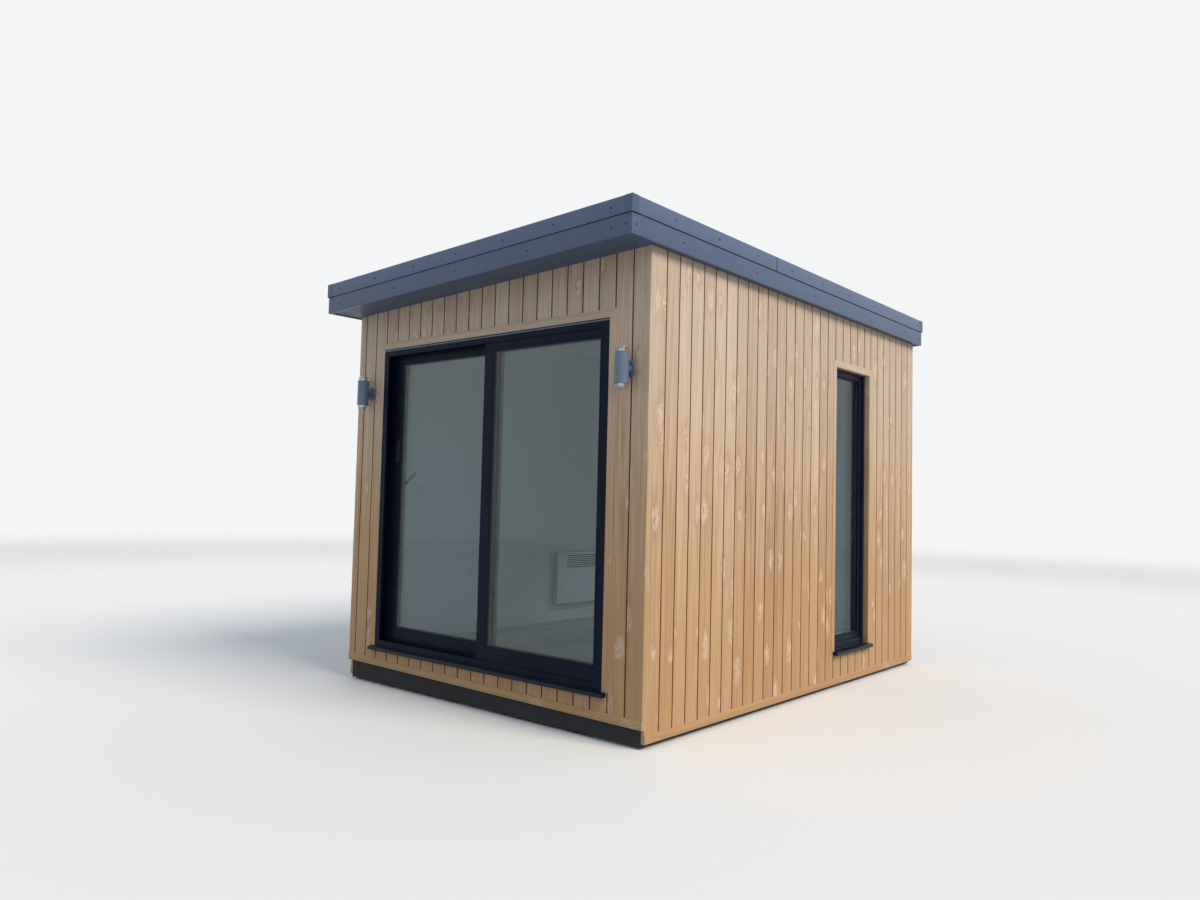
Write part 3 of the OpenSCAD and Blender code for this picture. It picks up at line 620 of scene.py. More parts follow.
concrete = rough_solid("concrete", (0.42, 0.41, 0.39), (0.25, 0.245, 0.235), 9.0, 3 * MM, 0.88)
sawn_timber = rough_solid("sawn_timber", (0.50, 0.37, 0.22), (0.33, 0.22, 0.12), 6.0, 1.2 * MM, 0.78,
                          (1.0, 6.0, 8.0))
deck_board = rough_solid("deck_board", (0.52, 0.41, 0.27), (0.36, 0.26, 0.16), 30.0, 0.8 * MM, 0.80)
print("rough solids", concrete.name, sawn_timber.name, deck_board.name)

# %% [markdown]
# ## Glass
# A real refracting glass shader turns daylight away from the room and leaves it dark.
# So the panes mix a clear shader, which carries the tint, with a mirror. Seen straight
# on, glass mirrors four parts in a hundred, and at a glance all of the light, which is
# the sum called facing. The side window's panes look darker than the door's, so they
# have a deeper tint and less of a mirror.


# %% Glazing
def glazing(name, tint, strength):
    """Mirror's share = strength times (0.04 + 0.96 times the fifth power of the facing term)."""
    f = Patterns(bpy.data.materials.new(name))
    glance = f.node("ShaderNodeLayerWeight", {}, {"Blend": 0.5}, "Facing")
    facing = 0.04 + 0.96 * glance ** 5.0
    clear = f.node("ShaderNodeBsdfTransparent", {}, {"Color": tint})
    mirror = f.node("ShaderNodeBsdfGlossy", {}, {"Color": (0.92, 0.95, 0.95), "Roughness": 0.015})
    f.surface(f.node("ShaderNodeMixShader", {}, {0: facing * strength, 1: clear, 2: mirror}))
    return f.owner


pane_glass = glazing("pane_glass", (0.910, 0.945, 0.950), 0.70)
window_pane_glass = glazing("window_pane_glass", (0.87, 0.92, 0.935), 0.42)
lens_glass = glazing("lens_glass", (0.86, 0.89, 0.90), 1.6)
print("materials", len(bpy.data.materials))

# %% [markdown]
# ## Solids from a section carried along a path
# Almost every piece of a building is a section carried along a line: a board, a trim, a
# frame bar, a folded roof edge. So one class gathers such solids. A solid is an array of
# loops, one loop per stop on the path, and a point is the stop's origin plus the
# section's two numbers times the stop's two directions. Faces join each loop to the
# next, and caps close the ends. Each solid also gets a grain map and a tone, one for the
# whole solid or one for each point of its section.


# %% The gathering class
class Pile:
    """Closed solids in one mesh. rows is (stops, points, 3): the section's loop at each stop."""

    def __init__(self):
        self.points, self.faces, self.grain, self.tones, self.count = [], [], [], [], 0

    def add(self, rows, across=(1, 0, 0), along=(0, 0, 1), tone=0.5, shift=(0.0, 0.0), ring=False):
        """A face joins points i and i + 1 of a stop to the same two of the next stop.

        In a ring the last stop is joined to the first. The grain map of a point is its dot products
        with across and along, plus shift."""
        rows = np.asarray(rows, float)
        stops, size = rows.shape[:2]
        index = np.arange(stops * size).reshape(stops, size) + self.count
        ahead = np.roll(index, -1, axis=0) if ring else index[1:]
        here = index if ring else index[:-1]
        quads = np.stack([here, np.roll(here, -1, axis=1), np.roll(ahead, -1, axis=1), ahead], axis=-1)
        self.faces += quads.reshape(-1, 4).tolist()
        if not ring:
            self.faces += [index[0][::-1].tolist(), index[-1].tolist()]
        flat = rows.reshape(-1, 3)
        self.points.append(flat)
        self.grain.append(np.stack([flat @ np.array(across, float) + shift[0],
                                    flat @ np.array(along, float) + shift[1]], axis=1))
        self.tones.append(np.broadcast_to(tone, (stops, size)).ravel())
        self.count += len(flat)

    def make(self, name, material, body="pod", slot=None, replaces=(), smooth=35):
        """One object from all the solids. Faces point outward, and edges over smooth degrees are sharp."""
        mesh = bpy.data.meshes.new(name)
        mesh.from_pydata(np.concatenate(self.points).tolist(), [], self.faces)
        corner = np.zeros(len(mesh.loops), np.int32)
        mesh.loops.foreach_get("vertex_index", corner)
        grain = np.concatenate(self.grain)[corner].astype(np.float32)
        mesh.uv_layers.new(name="grain").data.foreach_set("uv", grain.ravel())
        tones = np.concatenate(self.tones).astype(np.float32)
        mesh.attributes.new("tone", "FLOAT", "POINT").data.foreach_set("value", tones)
        work = bmesh.new()
        work.from_mesh(mesh)
        bmesh.ops.recalc_face_normals(work, faces=work.faces)
        work.to_mesh(mesh)
        work.free()
        mesh.shade_smooth()
        mesh.set_sharp_from_angle(angle=math.radians(smooth))
        mesh.materials.append(material)
        thing = bpy.data.objects.new(name, mesh)
        bpy.context.scene.collection.objects.link(thing)
        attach(thing, body)
        if replaces:
            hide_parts(*replaces)
        print(name, len(mesh.polygons), "faces")
        return thing


# %% [markdown]
# ## Sections and loops
# A few helpers make most of the loops: a section carried to its stops, a plain block, a
# rectangle with round corners, and an outline stood upright at a place along x or y.
# Round corners are quarter circles, because a sharp edge catches no light and looks
# false. The last helper draws the chance that makes each piece of wood its own.

# %% Carried section, block and rounded rectangle
corner_steps = 3


def carried(section, origins, first, second):
    """Point = origin of the stop + section number 0 times first + number 1 times second."""
    section, origins = np.asarray(section, float), np.asarray(origins, float)
    first = np.broadcast_to(np.asarray(first, float), origins.shape)
    second = np.broadcast_to(np.asarray(second, float), origins.shape)
    return (origins[:, None, :] + section[None, :, 0, None] * first[:, None, :]
            + section[None, :, 1, None] * second[:, None, :])


def block(low, high):
    """A plain box as two loops, from its low corner to its high corner."""
    (x0, y0, z0), (x1, y1, z1) = low, high
    loop = [(x0, y0), (x1, y0), (x1, y1), (x0, y1)]
    return carried(loop, [(0, 0, z0), (0, 0, z1)], (1, 0, 0), (0, 1, 0))


def rounded(width, depth, radius):
    """A rectangle from 0 to width and 0 to depth. Corner = centre + radius (cos t, sin t), a quarter turn."""
    t = np.linspace(0, math.pi / 2, corner_steps + 1)
    centres = [(width - radius, depth - radius), (radius, depth - radius),
               (radius, radius), (width - radius, radius)]
    return np.concatenate([np.stack([cx + radius * np.cos(t + quarter * math.pi / 2),
                                     cy + radius * np.sin(t + quarter * math.pi / 2)], axis=1)
                           for quarter, (cx, cy) in enumerate(centres)])


def facing_x(outline, x):
    """The loop at x whose y and z are the outline's two numbers."""
    return np.stack([np.full(len(outline), x), outline[:, 0], outline[:, 1]], axis=1)


def facing_y(outline, y):
    """The loop at y whose x and z are the outline's two numbers."""
    return np.stack([outline[:, 0], np.full(len(outline), y), outline[:, 1]], axis=1)


def wood_draw(darkest, palest):
    """Chance for one piece of wood: its tone, and where on an endless plank its grain is taken from."""
    return random.uniform(darkest, palest), random.uniform(0, 40, 2)


print("a rounded rectangle has", len(rounded(1.0, 1.0, 0.1)), "points")

# %% [markdown]
# ## The boards' section
# Each board has a flat face with eased edges, and laps its neighbour at the foot of a
# 9 mm groove. Lines drawn in a shader would look the same from afar, but a real groove
# keeps its shade when the light or the eye moves. A board that ends at a corner or at a
# trim is plain and tight there.

# %% Board section
gap = 4.5 * MM
lap = 14 * MM
ease = 1.8 * MM
ease_mid = ease * 0.3
narrowest = 14 * MM


def board_edge(u, inward, tight):
    """Back to face at one edge: lap, side of the groove and eased corner, or a plain tight edge."""
    hair, soft = 0.15 * MM, 0.5 * MM
    if tight:
        steps = [(hair, board_thk), (hair, soft), (hair + soft, 0.0)]
    else:
        steps = [(hair, board_thk), (hair, lap), (gap, lap), (gap, ease), (gap + ease_mid, ease_mid),
                 (gap + ease, 0.0)]
    return [(u + inward * away, deep) for away, deep in steps]


def board_section(u0, u1, tight0, tight1):
    """The whole outline: the edge at u0 from back to face, then the edge at u1 from face to back."""
    if u1 - u0 < narrowest:
        return np.array([(u0, board_thk), (u0, 0), (u1, 0), (u1, board_thk)])
    return np.array(board_edge(u0, 1, tight0) + board_edge(u1, -1, tight1)[::-1])


print("board section", len(board_section(0.0, board_pitch, False, False)), "points")

# %% [markdown]
# ## Boards along a wall
# The section is carried up the wall, and its two ends follow the sloping roof and foot.
# The trims are let in between the boards, so a board that meets the door or the window
# is made of the parts that are left outside the trims, and under the sill's top, where
# the cut is narrower, outside the opening itself. Cutting with a Boolean modifier would
# leave slivers, so the parts are worked out before a point is made.


# %% A wall of boards
def outside(u0, u1, cut):
    """The parts of the stretch from u0 to u1 that lie outside the cut."""
    if cut is None or u1 <= cut[0] or u0 >= cut[1]:
        return [(u0, u1)]
    return [(a, b) for a, b in ((u0, cut[0]), (cut[1], u1)) if b - a > 1 * MM]


def level(z):
    """An end of a board that is cut level at the height z."""
    return lambda u: z + 0 * u


def clad(name, node, origin, across, inward, first_groove, length, low, high, hole=None):
    """Boards side by side: point = origin + u across + depth inward + height up.

    u runs from 0 to length along the wall. low and high give the ends' heights at u. hole is the
    opening's (start, end, head). A point in a groove gets a tone below zero, which paints shade in the groove."""
    origin, across, inward = (np.asarray(v, float) for v in (origin, across, inward))
    up, near_end, groove_shade_tone = np.array((0, 0, 1.0)), 8 * MM, -0.6
    grooves = np.arange(first_groove, length, board_pitch)
    inner = grooves[(grooves > near_end) & (grooves < length - near_end)]
    edges = np.concatenate([[0.0], inner, [length]])
    uncut = [(low, high, None)]
    if hole:
        start, end, head = hole
        wide = (start - trim_w, end + trim_w)
        cut_bands = [(low, level(wall_base), None), (level(wall_base), level(door_base), (start, end)),
                     (level(door_base), level(head + trim_w), wide), (level(head + trim_w), high, None)]
    pile = Pile()
    for u0, u1 in zip(edges[:-1], edges[1:]):
        tone, shift = wood_draw(0.22, 0.98)
        whole = not hole or u1 <= wide[0] or u0 >= wide[1]
        for bottom, top, cut in (uncut if whole else cut_bands):
            for a, b in outside(u0, u1, cut):
                section = board_section(a, b, a != u0 or u0 == edges[0], b != u1 or u1 == edges[-1])
                u, deep = section.T
                flat = origin + u[:, None] * across + deep[:, None] * inward
                rows = np.stack([flat + np.outer(bottom(u), up), flat + np.outer(top(u), up)])
                # Points in a groove get the painted groove shade.
                tones = np.where(deep > ease * 0.5, groove_shade_tone, tone)
                pile.add(rows, across, up, tones, (shift[0] - (origin @ across), shift[1]))
    return pile.make(name, cladding_wood, slot="cladding_timber", replaces=(node,))


# %% [markdown]
# ## The four walls
# Each wall starts at a corner board: u runs from the right end on the front and the
# back, and from the front end on the sides. The first groove's place comes from the
# picture, and the others follow at the pitch. The boards stop a hair under the soffit,
# so the two never share a face.

# %% Boards on the four walls
under = 2 * seat
front_run, side_run = 2 * right_x - 2 * corner_w, back_y - front_y - 2 * corner_w
front_first, side_first = 114 * MM - corner_w, 139 * MM - corner_w
near_x, near_y = right_x - corner_w, front_y + corner_w


def slope_end(u):
    """Height of the soffit over a front or back board, u being the distance from the right corner board."""
    return soffit_z(near_x - u) - under


clad("front_boards", "front_cladding", (near_x, front_y, 0), (-1, 0, 0), (0, 1, 0), front_first, front_run,
     lambda u: front_base_z(near_x - u) + board_over, slope_end, (near_x - door_x1, near_x - door_x0, door_top))
clad("right_boards", "right_cladding", (right_x, near_y, 0), (0, 1, 0), (-1, 0, 0), side_first, side_run,
     level(side_base), level(soffit_z(right_x) - under), (window_y0 - near_y, window_y1 - near_y, window_top))
clad("left_boards", "left_cladding", (left_x, near_y, 0), (0, 1, 0), (1, 0, 0), side_first, side_run,
     level(side_base), level(soffit_z(left_x) - under))
clad("back_boards", "back_cladding", (near_x, back_y, 0), (-1, 0, 0), (0, -1, 0), front_first, front_run,
     level(side_base), slope_end)

# %% [markdown]
# ## Corner boards
# Each corner is closed by two boards of the same timber: one faces the front or the back
# and hides the edge of the other. A mitred post would be simpler, but the two edges side
# by side are what one sees on the real thing.

# %% Corner boards
trims = Pile()
corner_gap = 0.2 * MM


def upright(across, away, foot):
    """A corner board: a rounded outline between two x and two y, carried from its foot up to the soffit."""
    outline = rounded(across[1] - across[0], away[1] - away[0], 1.2 * MM) + (across[0], away[0])
    low_loop = np.column_stack([outline, np.full(len(outline), foot)])
    high_loop = np.column_stack([outline, soffit_z(outline[:, 0]) - under])
    trims.add([low_loop, high_loop], (1, 1, 0), (0, 0, 1), *wood_draw(0.45, 0.8))


front_feet = {1: float(front_base_z(near_x)) + board_over, -1: front_base_left + board_over}
for sx in (1, -1):
    face_span = sorted((sx * right_x, sx * near_x))
    side_span = sorted((sx * right_x, sx * (right_x - board_thk)))
    for cy, sy in ((front_y, 1), (back_y, -1)):
        foot = front_feet[sx] if sy == 1 else side_base
        upright(face_span, sorted((cy, cy + sy * board_thk)), foot)
        upright(side_span, sorted((cy + sy * (board_thk + corner_gap), cy + sy * corner_w)), side_base)
trims.make("corner_posts", trim_wood, slot="trim_timber", replaces=("corner_trims",))

# %% [markdown]
# ## Foot battens
# A flat batten is let in along the foot of every wall, 3 mm proud of the boards. It is
# one eased section, carried along a straight line. On the front that line slopes.

# %% Foot battens
base = Pile()
batten_thk = board_thk + trim_proud
batten_soft = 1.4 * MM


def batten(start, end, outward):
    """The batten's section carried from start to end: number 0 goes outward and number 1 goes up."""
    outline = rounded(batten_thk, trim_w, batten_soft)
    run = np.asarray(end) - np.asarray(start)
    along = run / np.linalg.norm(run)
    base.add(carried(outline, [start, end], outward, (0, 0, 1)), np.cross(along, outward), along,
             *wood_draw(0.35, 0.7))


inner_y, inner_back, inner_x = front_y + board_thk, back_y - board_thk, right_x - board_thk
batten((left_x, inner_y, front_base_left), (right_x, inner_y, front_base_right), (0, -1, 0))
batten((inner_x, inner_y, foot_z), (inner_x, inner_back, foot_z), (1, 0, 0))
batten((-inner_x, inner_y, foot_z), (-inner_x, inner_back, foot_z), (-1, 0, 0))
batten((left_x, inner_back, foot_z), (right_x, inner_back, foot_z), (0, 1, 0))
base.make("foot_battens", trim_wood, slot="trim_timber", replaces=("base_trims",))

# %% [markdown]
# ## Trims round the door and the window
# The same batten frames the door and the window: two legs and a head, mitred at the top.
# At the window the trim also returns into the opening, back to the frame, so its section
# has a second arm.


# %% Trims round the openings
def surround(pile, section, origin, across, outward, u0, u1, foot, head):
    """Three members round an opening from u0 to u1. The section's numbers go away from it and outward.

    A leg's point = origin + (edge + w) across + out outward, from the foot to head + w, and the head's
    point lies at u0 - w or u1 + w, so both cuts lie on the diagonal."""
    w, out = np.asarray(section, float).T
    origin, across, outward = (np.asarray(v, float) for v in (origin, across, outward))
    up = np.array((0, 0, 1.0))
    for side_u, sign in ((u0, -1), (u1, 1)):
        flat = origin + (side_u + sign * w)[:, None] * across + out[:, None] * outward
        rows = np.stack([flat + foot * up, flat + (head + w)[:, None] * up])
        pile.add(rows, across, up, *wood_draw(0.45, 0.8))
    flat = origin + out[:, None] * outward + (head + w)[:, None] * up
    rows = np.stack([flat + (u0 - w)[:, None] * across, flat + (u1 + w)[:, None] * across])
    pile.add(rows, up, across, *wood_draw(0.45, 0.8))


legs = Pile()
flat_trim = rounded(trim_w, batten_thk, batten_soft) - (0, board_thk)
surround(legs, flat_trim, (0, front_y, 0), (1, 0, 0), (0, -1, 0), door_x0, door_x1, door_base, door_top)
window_in = right_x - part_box("window_frame")[1].x
return_thk = 34 * MM
turned_in = flat_trim[flat_trim[:, 1] > 0]
returned = np.concatenate([turned_in, [(0, -window_in), (return_thk, -window_in), (return_thk, -board_thk),
                                       (trim_w, -board_thk)]])
surround(legs, returned, (right_x, 0, 0), (0, 1, 0), (1, 0, 0), window_y0, window_y1, door_base, window_top)
legs.make("opening_surrounds", trim_wood, slot="trim_timber", replaces=("opening_trims",))

# %% [markdown]
# ## The roof edge
# Two tiers of folded, coated aluminium run round the roof: a deep fascia, and over it an
# edge trim that stands a few millimetres forward and turns in over the roof. A folded
# sheet has soft corners, so each section has small arcs at its bends. The section is
# carried round the four corners of the roof, where both directions lie on the diagonal.

# %% Fascia
roof_low, roof_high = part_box("edge_trim")
under_soffit, joint_up, top_up = 6 * MM, 102 * MM, 190 * MM
fascia_back = 6 * MM
bend_radius, bend_steps = 2.0 * MM, 3


def round_roof(section):
    """Stops at the roof's corners. Section number 0 goes in from the edge, number 1 up from the soffit."""
    inward, up = np.asarray(section, float).T
    rows = []
    for x, y, sx, sy in ((roof_low.x, roof_low.y, 1, 1), (roof_high.x, roof_low.y, -1, 1),
                         (roof_high.x, roof_high.y, -1, -1), (roof_low.x, roof_high.y, 1, -1)):
        px, py = x + sx * inward, y + sy * inward
        rows.append(np.stack([px, py, soffit_z(px) + up], axis=1))
    return np.stack(rows)


def folded(points, thickness):
    """A sheet's section: a line of points with rounded bends, and the same line set in by the thickness.

    A bend's point = corner + radius (1 - s) (1 - s) toward one neighbour + radius s s toward the other."""
    points = np.asarray(points, float)
    line = [points[0]]
    for before, here, after in zip(points[:-2], points[1:-1], points[2:]):
        to = (before - here) / np.linalg.norm(before - here)
        away = (after - here) / np.linalg.norm(after - here)
        for s in np.linspace(0, 1, bend_steps + 1):
            line.append(here + to * bend_radius * (1 - s) ** 2 + away * bend_radius * s ** 2)
    line = np.array(line + [points[-1]])
    run = np.gradient(line, axis=0)
    normal = np.stack([-run[:, 1], run[:, 0]], axis=1) / np.linalg.norm(run, axis=1)[:, None]
    return np.concatenate([line, (line + normal * thickness)[::-1]])


fascia = Pile()
fascia_section = folded([(24 * MM, -under_soffit + 1.5 * MM), (fascia_back, -under_soffit),
                         (fascia_back, joint_up - 1 * MM), (20 * MM, joint_up)], -1.6 * MM)
fascia.add(round_roof(fascia_section), ring=True)
fascia.make("fascia_run", anthracite, slot="grey_metal", replaces=("fascia",))

# %% [markdown]
# ## The edge trim in lengths
# The edge trim comes in lengths, so its runs meet at open joints, one on each long side,
# with a dark splice plate behind. The runs are cut here as separate solids, so each
# joint is a real gap with its own shadow. At the roof's corners they are mitred.


# %% Edge trim and splices
def roof_run(section, side, start, end):
    """One length of a section along a side of the roof, each end square at a place or mitred at a corner."""
    n, up = np.asarray(section, float).T
    x0, x1, y0, y1 = roof_low.x, roof_high.x, roof_low.y, roof_high.y
    loops = []
    for at in (start, end):
        mitre = at in ("low", "high")
        if side in ("right", "left"):
            px = (x1 - n) if side == "right" else (x0 + n)
            py = {"low": y0 + n, "high": y1 - n}[at] if mitre else np.full(len(n), at)
        else:
            py = (y0 + n) if side == "front" else (y1 - n)
            px = {"low": x0 + n, "high": x1 - n}[at] if mitre else np.full(len(n), at)
        loops.append(np.stack([px, py, soffit_z(px) + up], axis=1))
    return loops


joint_y, joint_gap, splice_half = -477 * MM, 4.4 * MM, 35 * MM
cap_face = 0.2 * MM
cap_section = folded([(fascia_back, joint_up + 0.6 * MM), (cap_face, joint_up + cap_face),
                      (cap_face, top_up - cap_face), (60 * MM, top_up - cap_face)], -1.8 * MM)
splice_back = 2.4 * MM
splice_section = folded([(splice_back, joint_up + 3 * MM), (splice_back, top_up - splice_back),
                         (58 * MM, top_up - splice_back)], -1.2 * MM)
cap, splice = Pile(), Pile()
for side in ("right", "left"):
    cap.add(roof_run(cap_section, side, "low", joint_y - joint_gap))
    cap.add(roof_run(cap_section, side, joint_y + joint_gap, "high"))
    splice.add(roof_run(splice_section, side, joint_y - splice_half, joint_y + splice_half))
for side in ("front", "back"):
    cap.add(roof_run(cap_section, side, "low", "high"))
cap.make("edge_cap", edge_coat, slot="grey_metal", replaces=("edge_trim",))
splice.make("edge_splices", screw_dark, slot="grey_metal")

# %% [markdown]
# ## Screws on both tiers
# Dark, low-headed screws hold both tiers, in rows that the eye follows round the roof. A
# head is turned: circles at rising heights, with a rounded rim and a shallow dish.

# %% Low-headed screws
heads = Pile()
around = np.linspace(0, 2 * math.pi, 14, endpoint=False)
head_radius, head_height = 5.8 * MM, 1.4 * MM
head_stops = [(1.0, 0.0), (1.0, 0.55), (0.86, 1.0), (0.45, 0.95), (0.32, 0.5), (0.05, 0.45)]


def screw(centre, outward):
    """Point = centre + height outward + radius (cos t side + sin t up), for each radius and height."""
    outward = np.asarray(outward, float)
    side, up = np.cross(outward, (0, 0, 1)), np.array((0, 0, 1.0))
    circle = np.cos(around)[:, None] * side + np.sin(around)[:, None] * up
    centre = np.asarray(centre)
    heads.add([centre + outward * h * head_height + r * head_radius * circle for r, h in head_stops])


upper_up, lower_up = 145 * MM, 47 * MM
upper_y = [-1532 + 415 * k for k in range(9)]
lower_y = [-1850, -1448, -701, 46, 793, 1540, 1850]
upper_x = [-1170, -780, -390, 0, 390, 780, 1170]
lower_x = [-1262, -1170, -585, 0, 585, 1170, 1262]
for s in (-1, 1):
    face, low_face = s * roof_high.x, s * (roof_high.x - fascia_back)
    for y in upper_y:
        screw((face, y * MM, soffit_z(face) + upper_up), (s, 0, 0))
    for y in lower_y:
        screw((low_face, y * MM, soffit_z(low_face) + lower_up), (s, 0, 0))
    face_y, low_face_y = s * roof_high.y, s * (roof_high.y - fascia_back)
    for x in upper_x:
        screw((x * MM, face_y, soffit_z(x * MM) + upper_up), (0, s, 0))
    for x in lower_x:
        screw((x * MM, low_face_y, soffit_z(x * MM) + lower_up), (0, s, 0))
heads.make("edge_screws", screw_dark, slot="grey_metal", smooth=60)

# %% [markdown]
# ## Mitred frames
# A window frame is one section whose corners are cut at the diagonal. The section's
# first number runs from the frame's outer edge to its inner edge. Points near the inner
# edge are measured from there, because the bottom member is wider than the sides. The
# four members are separate solids with a hairline between them, as real corners show.

# %% The helper for four mitred members
mitre_hair = 0.12 * MM
members = (((0, 0), (1, 0), 0), ((1, 0), (1, 1), 1), ((1, 1), (0, 1), 0), ((0, 1), (0, 0), 1))


def mitred(pile, at, rect, widths, section, pocket_side=False):
    """Corner point = corner + (k w_u + c, k w_v + c) for a section point (k, c, depth).

    at(u, v, d) gives the place. rect is (u0, u1, v0, v1) and widths (left, right, bottom, top).
    pocket_side leaves out the member at u0, which is built round a pocket later."""
    k, c, d = np.asarray(section, float).T
    u0, u1, v0, v1 = rect
    left, right, low, top = widths
    inner_u = (u0 + k * left + c, u1 - k * right - c)
    inner_v = (v0 + k * low + c, v1 - k * top - c)
    for first, last, along in members:
        if pocket_side and first[0] == last[0] == 0:
            continue
        toward = mitre_hair if first < last else -mitre_hair
        loops = []
        for corner, hair in ((first, toward), (last, -toward)):
            u, v = inner_u[corner[0]], inner_v[corner[1]]
            loops.append(at(u + hair, v, d) if along == 0 else at(u, v + hair, d))
        pile.add(loops)
    return inner_v


def door_at(depth0):
    """A place on a door panel: u along X, v along Z, d back from the panel's face."""
    return lambda u, v, d: np.stack([u, depth0 + d, v], axis=1)


def in_metres(section):
    """k stays; c and the depth turn from millimetres to metres."""
    return np.asarray(section, float) * (1, MM, MM)


print("members of a frame", len(members))

# %% [markdown]
# ## The sections of the door
# From outside, a panel's frame has a flat face, then a fine groove where the bead that
# holds the glass is clipped on, and a rounded lip. A gasket with a soft bulge seals each
# side of the glass, and between the two panes a dark bar keeps them apart.

# %% Frame, gasket and spacer sections
panel_section = in_metres([
    (0, 0, 1.2), (0, 1.2, 0), (1, -15.2, 0), (1, -14.6, 0.9), (1, -14.0, 0.9), (1, -13.4, 0.1),
    (1, -3.0, 0.1), (1, -0.4, 2.4), (1, 0, 3.2), (1, 0, 33.0), (1, -1.0, 35.2), (1, -2.2, 36.0),
    (0, 1.2, 36.0), (0, 0, 34.8)])
gasket_front = in_metres([
    (1, -0.2, 3.0), (1, 0.8, 2.7), (1, 2.6, 3.3), (1, 3.8, 4.3), (1, 4.0, 5.0), (1, -0.2, 5.0)])
gasket_back = in_metres([
    (1, -0.2, 33.2), (1, -0.2, 29.0), (1, 4.0, 29.0), (1, 3.8, 30.0), (1, 2.6, 31.6), (1, 0.8, 33.0)])
spacer_section = in_metres([
    (1, -0.2, 9.2), (1, 4.8, 9.2), (1, 5.2, 10.0), (1, 5.2, 24.0), (1, 4.8, 24.8), (1, -0.2, 24.8)])
print("panel section", len(panel_section), "points")

# %% [markdown]
# ## The fixed panel
# The panel on the right stands still, in the outer track. A thin fin on its edge runs
# back toward the sliding panel, and the two fins hook together when the door is shut.

# %% Fixed panel
fixed_low, fixed_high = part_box("fixed_panel")
leaf_low, leaf_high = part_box("sliding_panel")
fixed_pane, leaf_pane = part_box("fixed_glass"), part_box("sliding_glass")
panel_depth, fin_thk = 36 * MM, 4 * MM
fixed_y, leaf_y = fixed_low.y, leaf_high.y - panel_depth
fin_z = (door_base + 42 * MM, door_top - 52 * MM)


def panel_rect(low, high):
    """The frame's outer edges: left, right, bottom and top."""
    return (low.x, high.x, low.z, high.z)


def panel_widths(low, high, pane):
    """Width of each member: the distance from the frame's outer edge to the pane's edge."""
    return (pane[0].x - low.x, high.x - pane[1].x, pane[0].z - low.z, high.z - pane[1].z)


fixed = Pile()
fixed_rect = panel_rect(fixed_low, fixed_high)
fixed_widths = panel_widths(fixed_low, fixed_high, fixed_pane)
mitred(fixed, door_at(fixed_y), fixed_rect, fixed_widths, panel_section)
fixed.add(block((fixed_low.x, fixed_y + panel_depth, fin_z[0]),
                (fixed_low.x + fin_thk, fixed_high.y, fin_z[1])))
fixed.make("fixed_sash", frame_black, slot="black_metal", replaces=("fixed_panel",))

# %% [markdown]
# ## The sliding panel
# The sliding panel has the same section. Its left stile carries the finger pull, which
# needs a pocket. So the stile is three solids: one below the pocket, one above it, and
# one beside it whose section has a notch.

# %% Sliding panel
leaf = Pile()
leaf_rect = panel_rect(leaf_low, leaf_high)
leaf_widths = panel_widths(leaf_low, leaf_high, leaf_pane)
rail_v = mitred(leaf, door_at(leaf_y), leaf_rect, leaf_widths, panel_section, pocket_side=True)
leaf.add(block((leaf_high.x - fin_thk, leaf_low.y, fin_z[0]), (leaf_high.x, leaf_y, fin_z[1])))
pull_low, pull_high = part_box("pull_handle")
rim_wide, pocket_deep = 4 * MM, 14 * MM
pocket_x = (pull_low.x + rim_wide, pull_high.x - rim_wide)
pocket_z = (pull_low.z + rim_wide, pull_high.z - rim_wide)
share, offset, stile_d = panel_section.T
stile_u = leaf_low.x + share * leaf_widths[0] + offset
notched_u = np.concatenate([stile_u[:2], np.repeat(pocket_x, 2), stile_u[2:]])
notched_d = np.concatenate([stile_d[:2], [0, pocket_deep, pocket_deep, 0], stile_d[2:]])
for u, d, ends in ((stile_u, stile_d, (rail_v[0], pocket_z[0])), (stile_u, stile_d, (pocket_z[1], rail_v[1])),
                   (notched_u, notched_d, pocket_z)):
    leaf.add([door_at(leaf_y)(u, np.broadcast_to(v, u.shape), d) for v in ends])
leaf.make("sliding_sash", frame_black, body="leaf", slot="black_metal", replaces=("sliding_panel",))

# %% [markdown]
# ## The bead over the door
# A slim bead runs along the top of the door's head, close under the timber. Its face
# leans back a little, so it catches the sky as a thin light line over the black frame, and its paler grey coat
# paints part of that line as a highlight.

# %% Bead along the head
bead = Pile()
bead_end = 1 * MM
bead_section = np.array([(0, -13.5), (2.0, -12.8), (2.6, -11.6), (2.2, -6.6), (1.2, -5.6), (0, -5.4)]) * MM
bead_ends = [(x, front_y, door_top) for x in (door_x0 + bead_end, door_x1 - bead_end)]
bead.add(carried(bead_section, bead_ends, (0, -1, 0), (0, 0, 1)))
# The pale lamp grey on the bead is a painted highlight over the black frame.
bead.make("head_bead", lamp_grey, slot="black_metal", smooth=60)

# %% [markdown]
# ## Double glazing
# Each unit is two panes with a dark spacer bar round their edges, and a black gasket
# seals both sides to the frame. One thick block of glass would be less work, but the two
# faint mirror images, one behind the other, are what makes a window look real.

# %% Panes, spacers and gaskets
pane_thk, pane_play = 4 * MM, 0.2 * MM
front_pane, back_pane = 5 * MM, 25 * MM


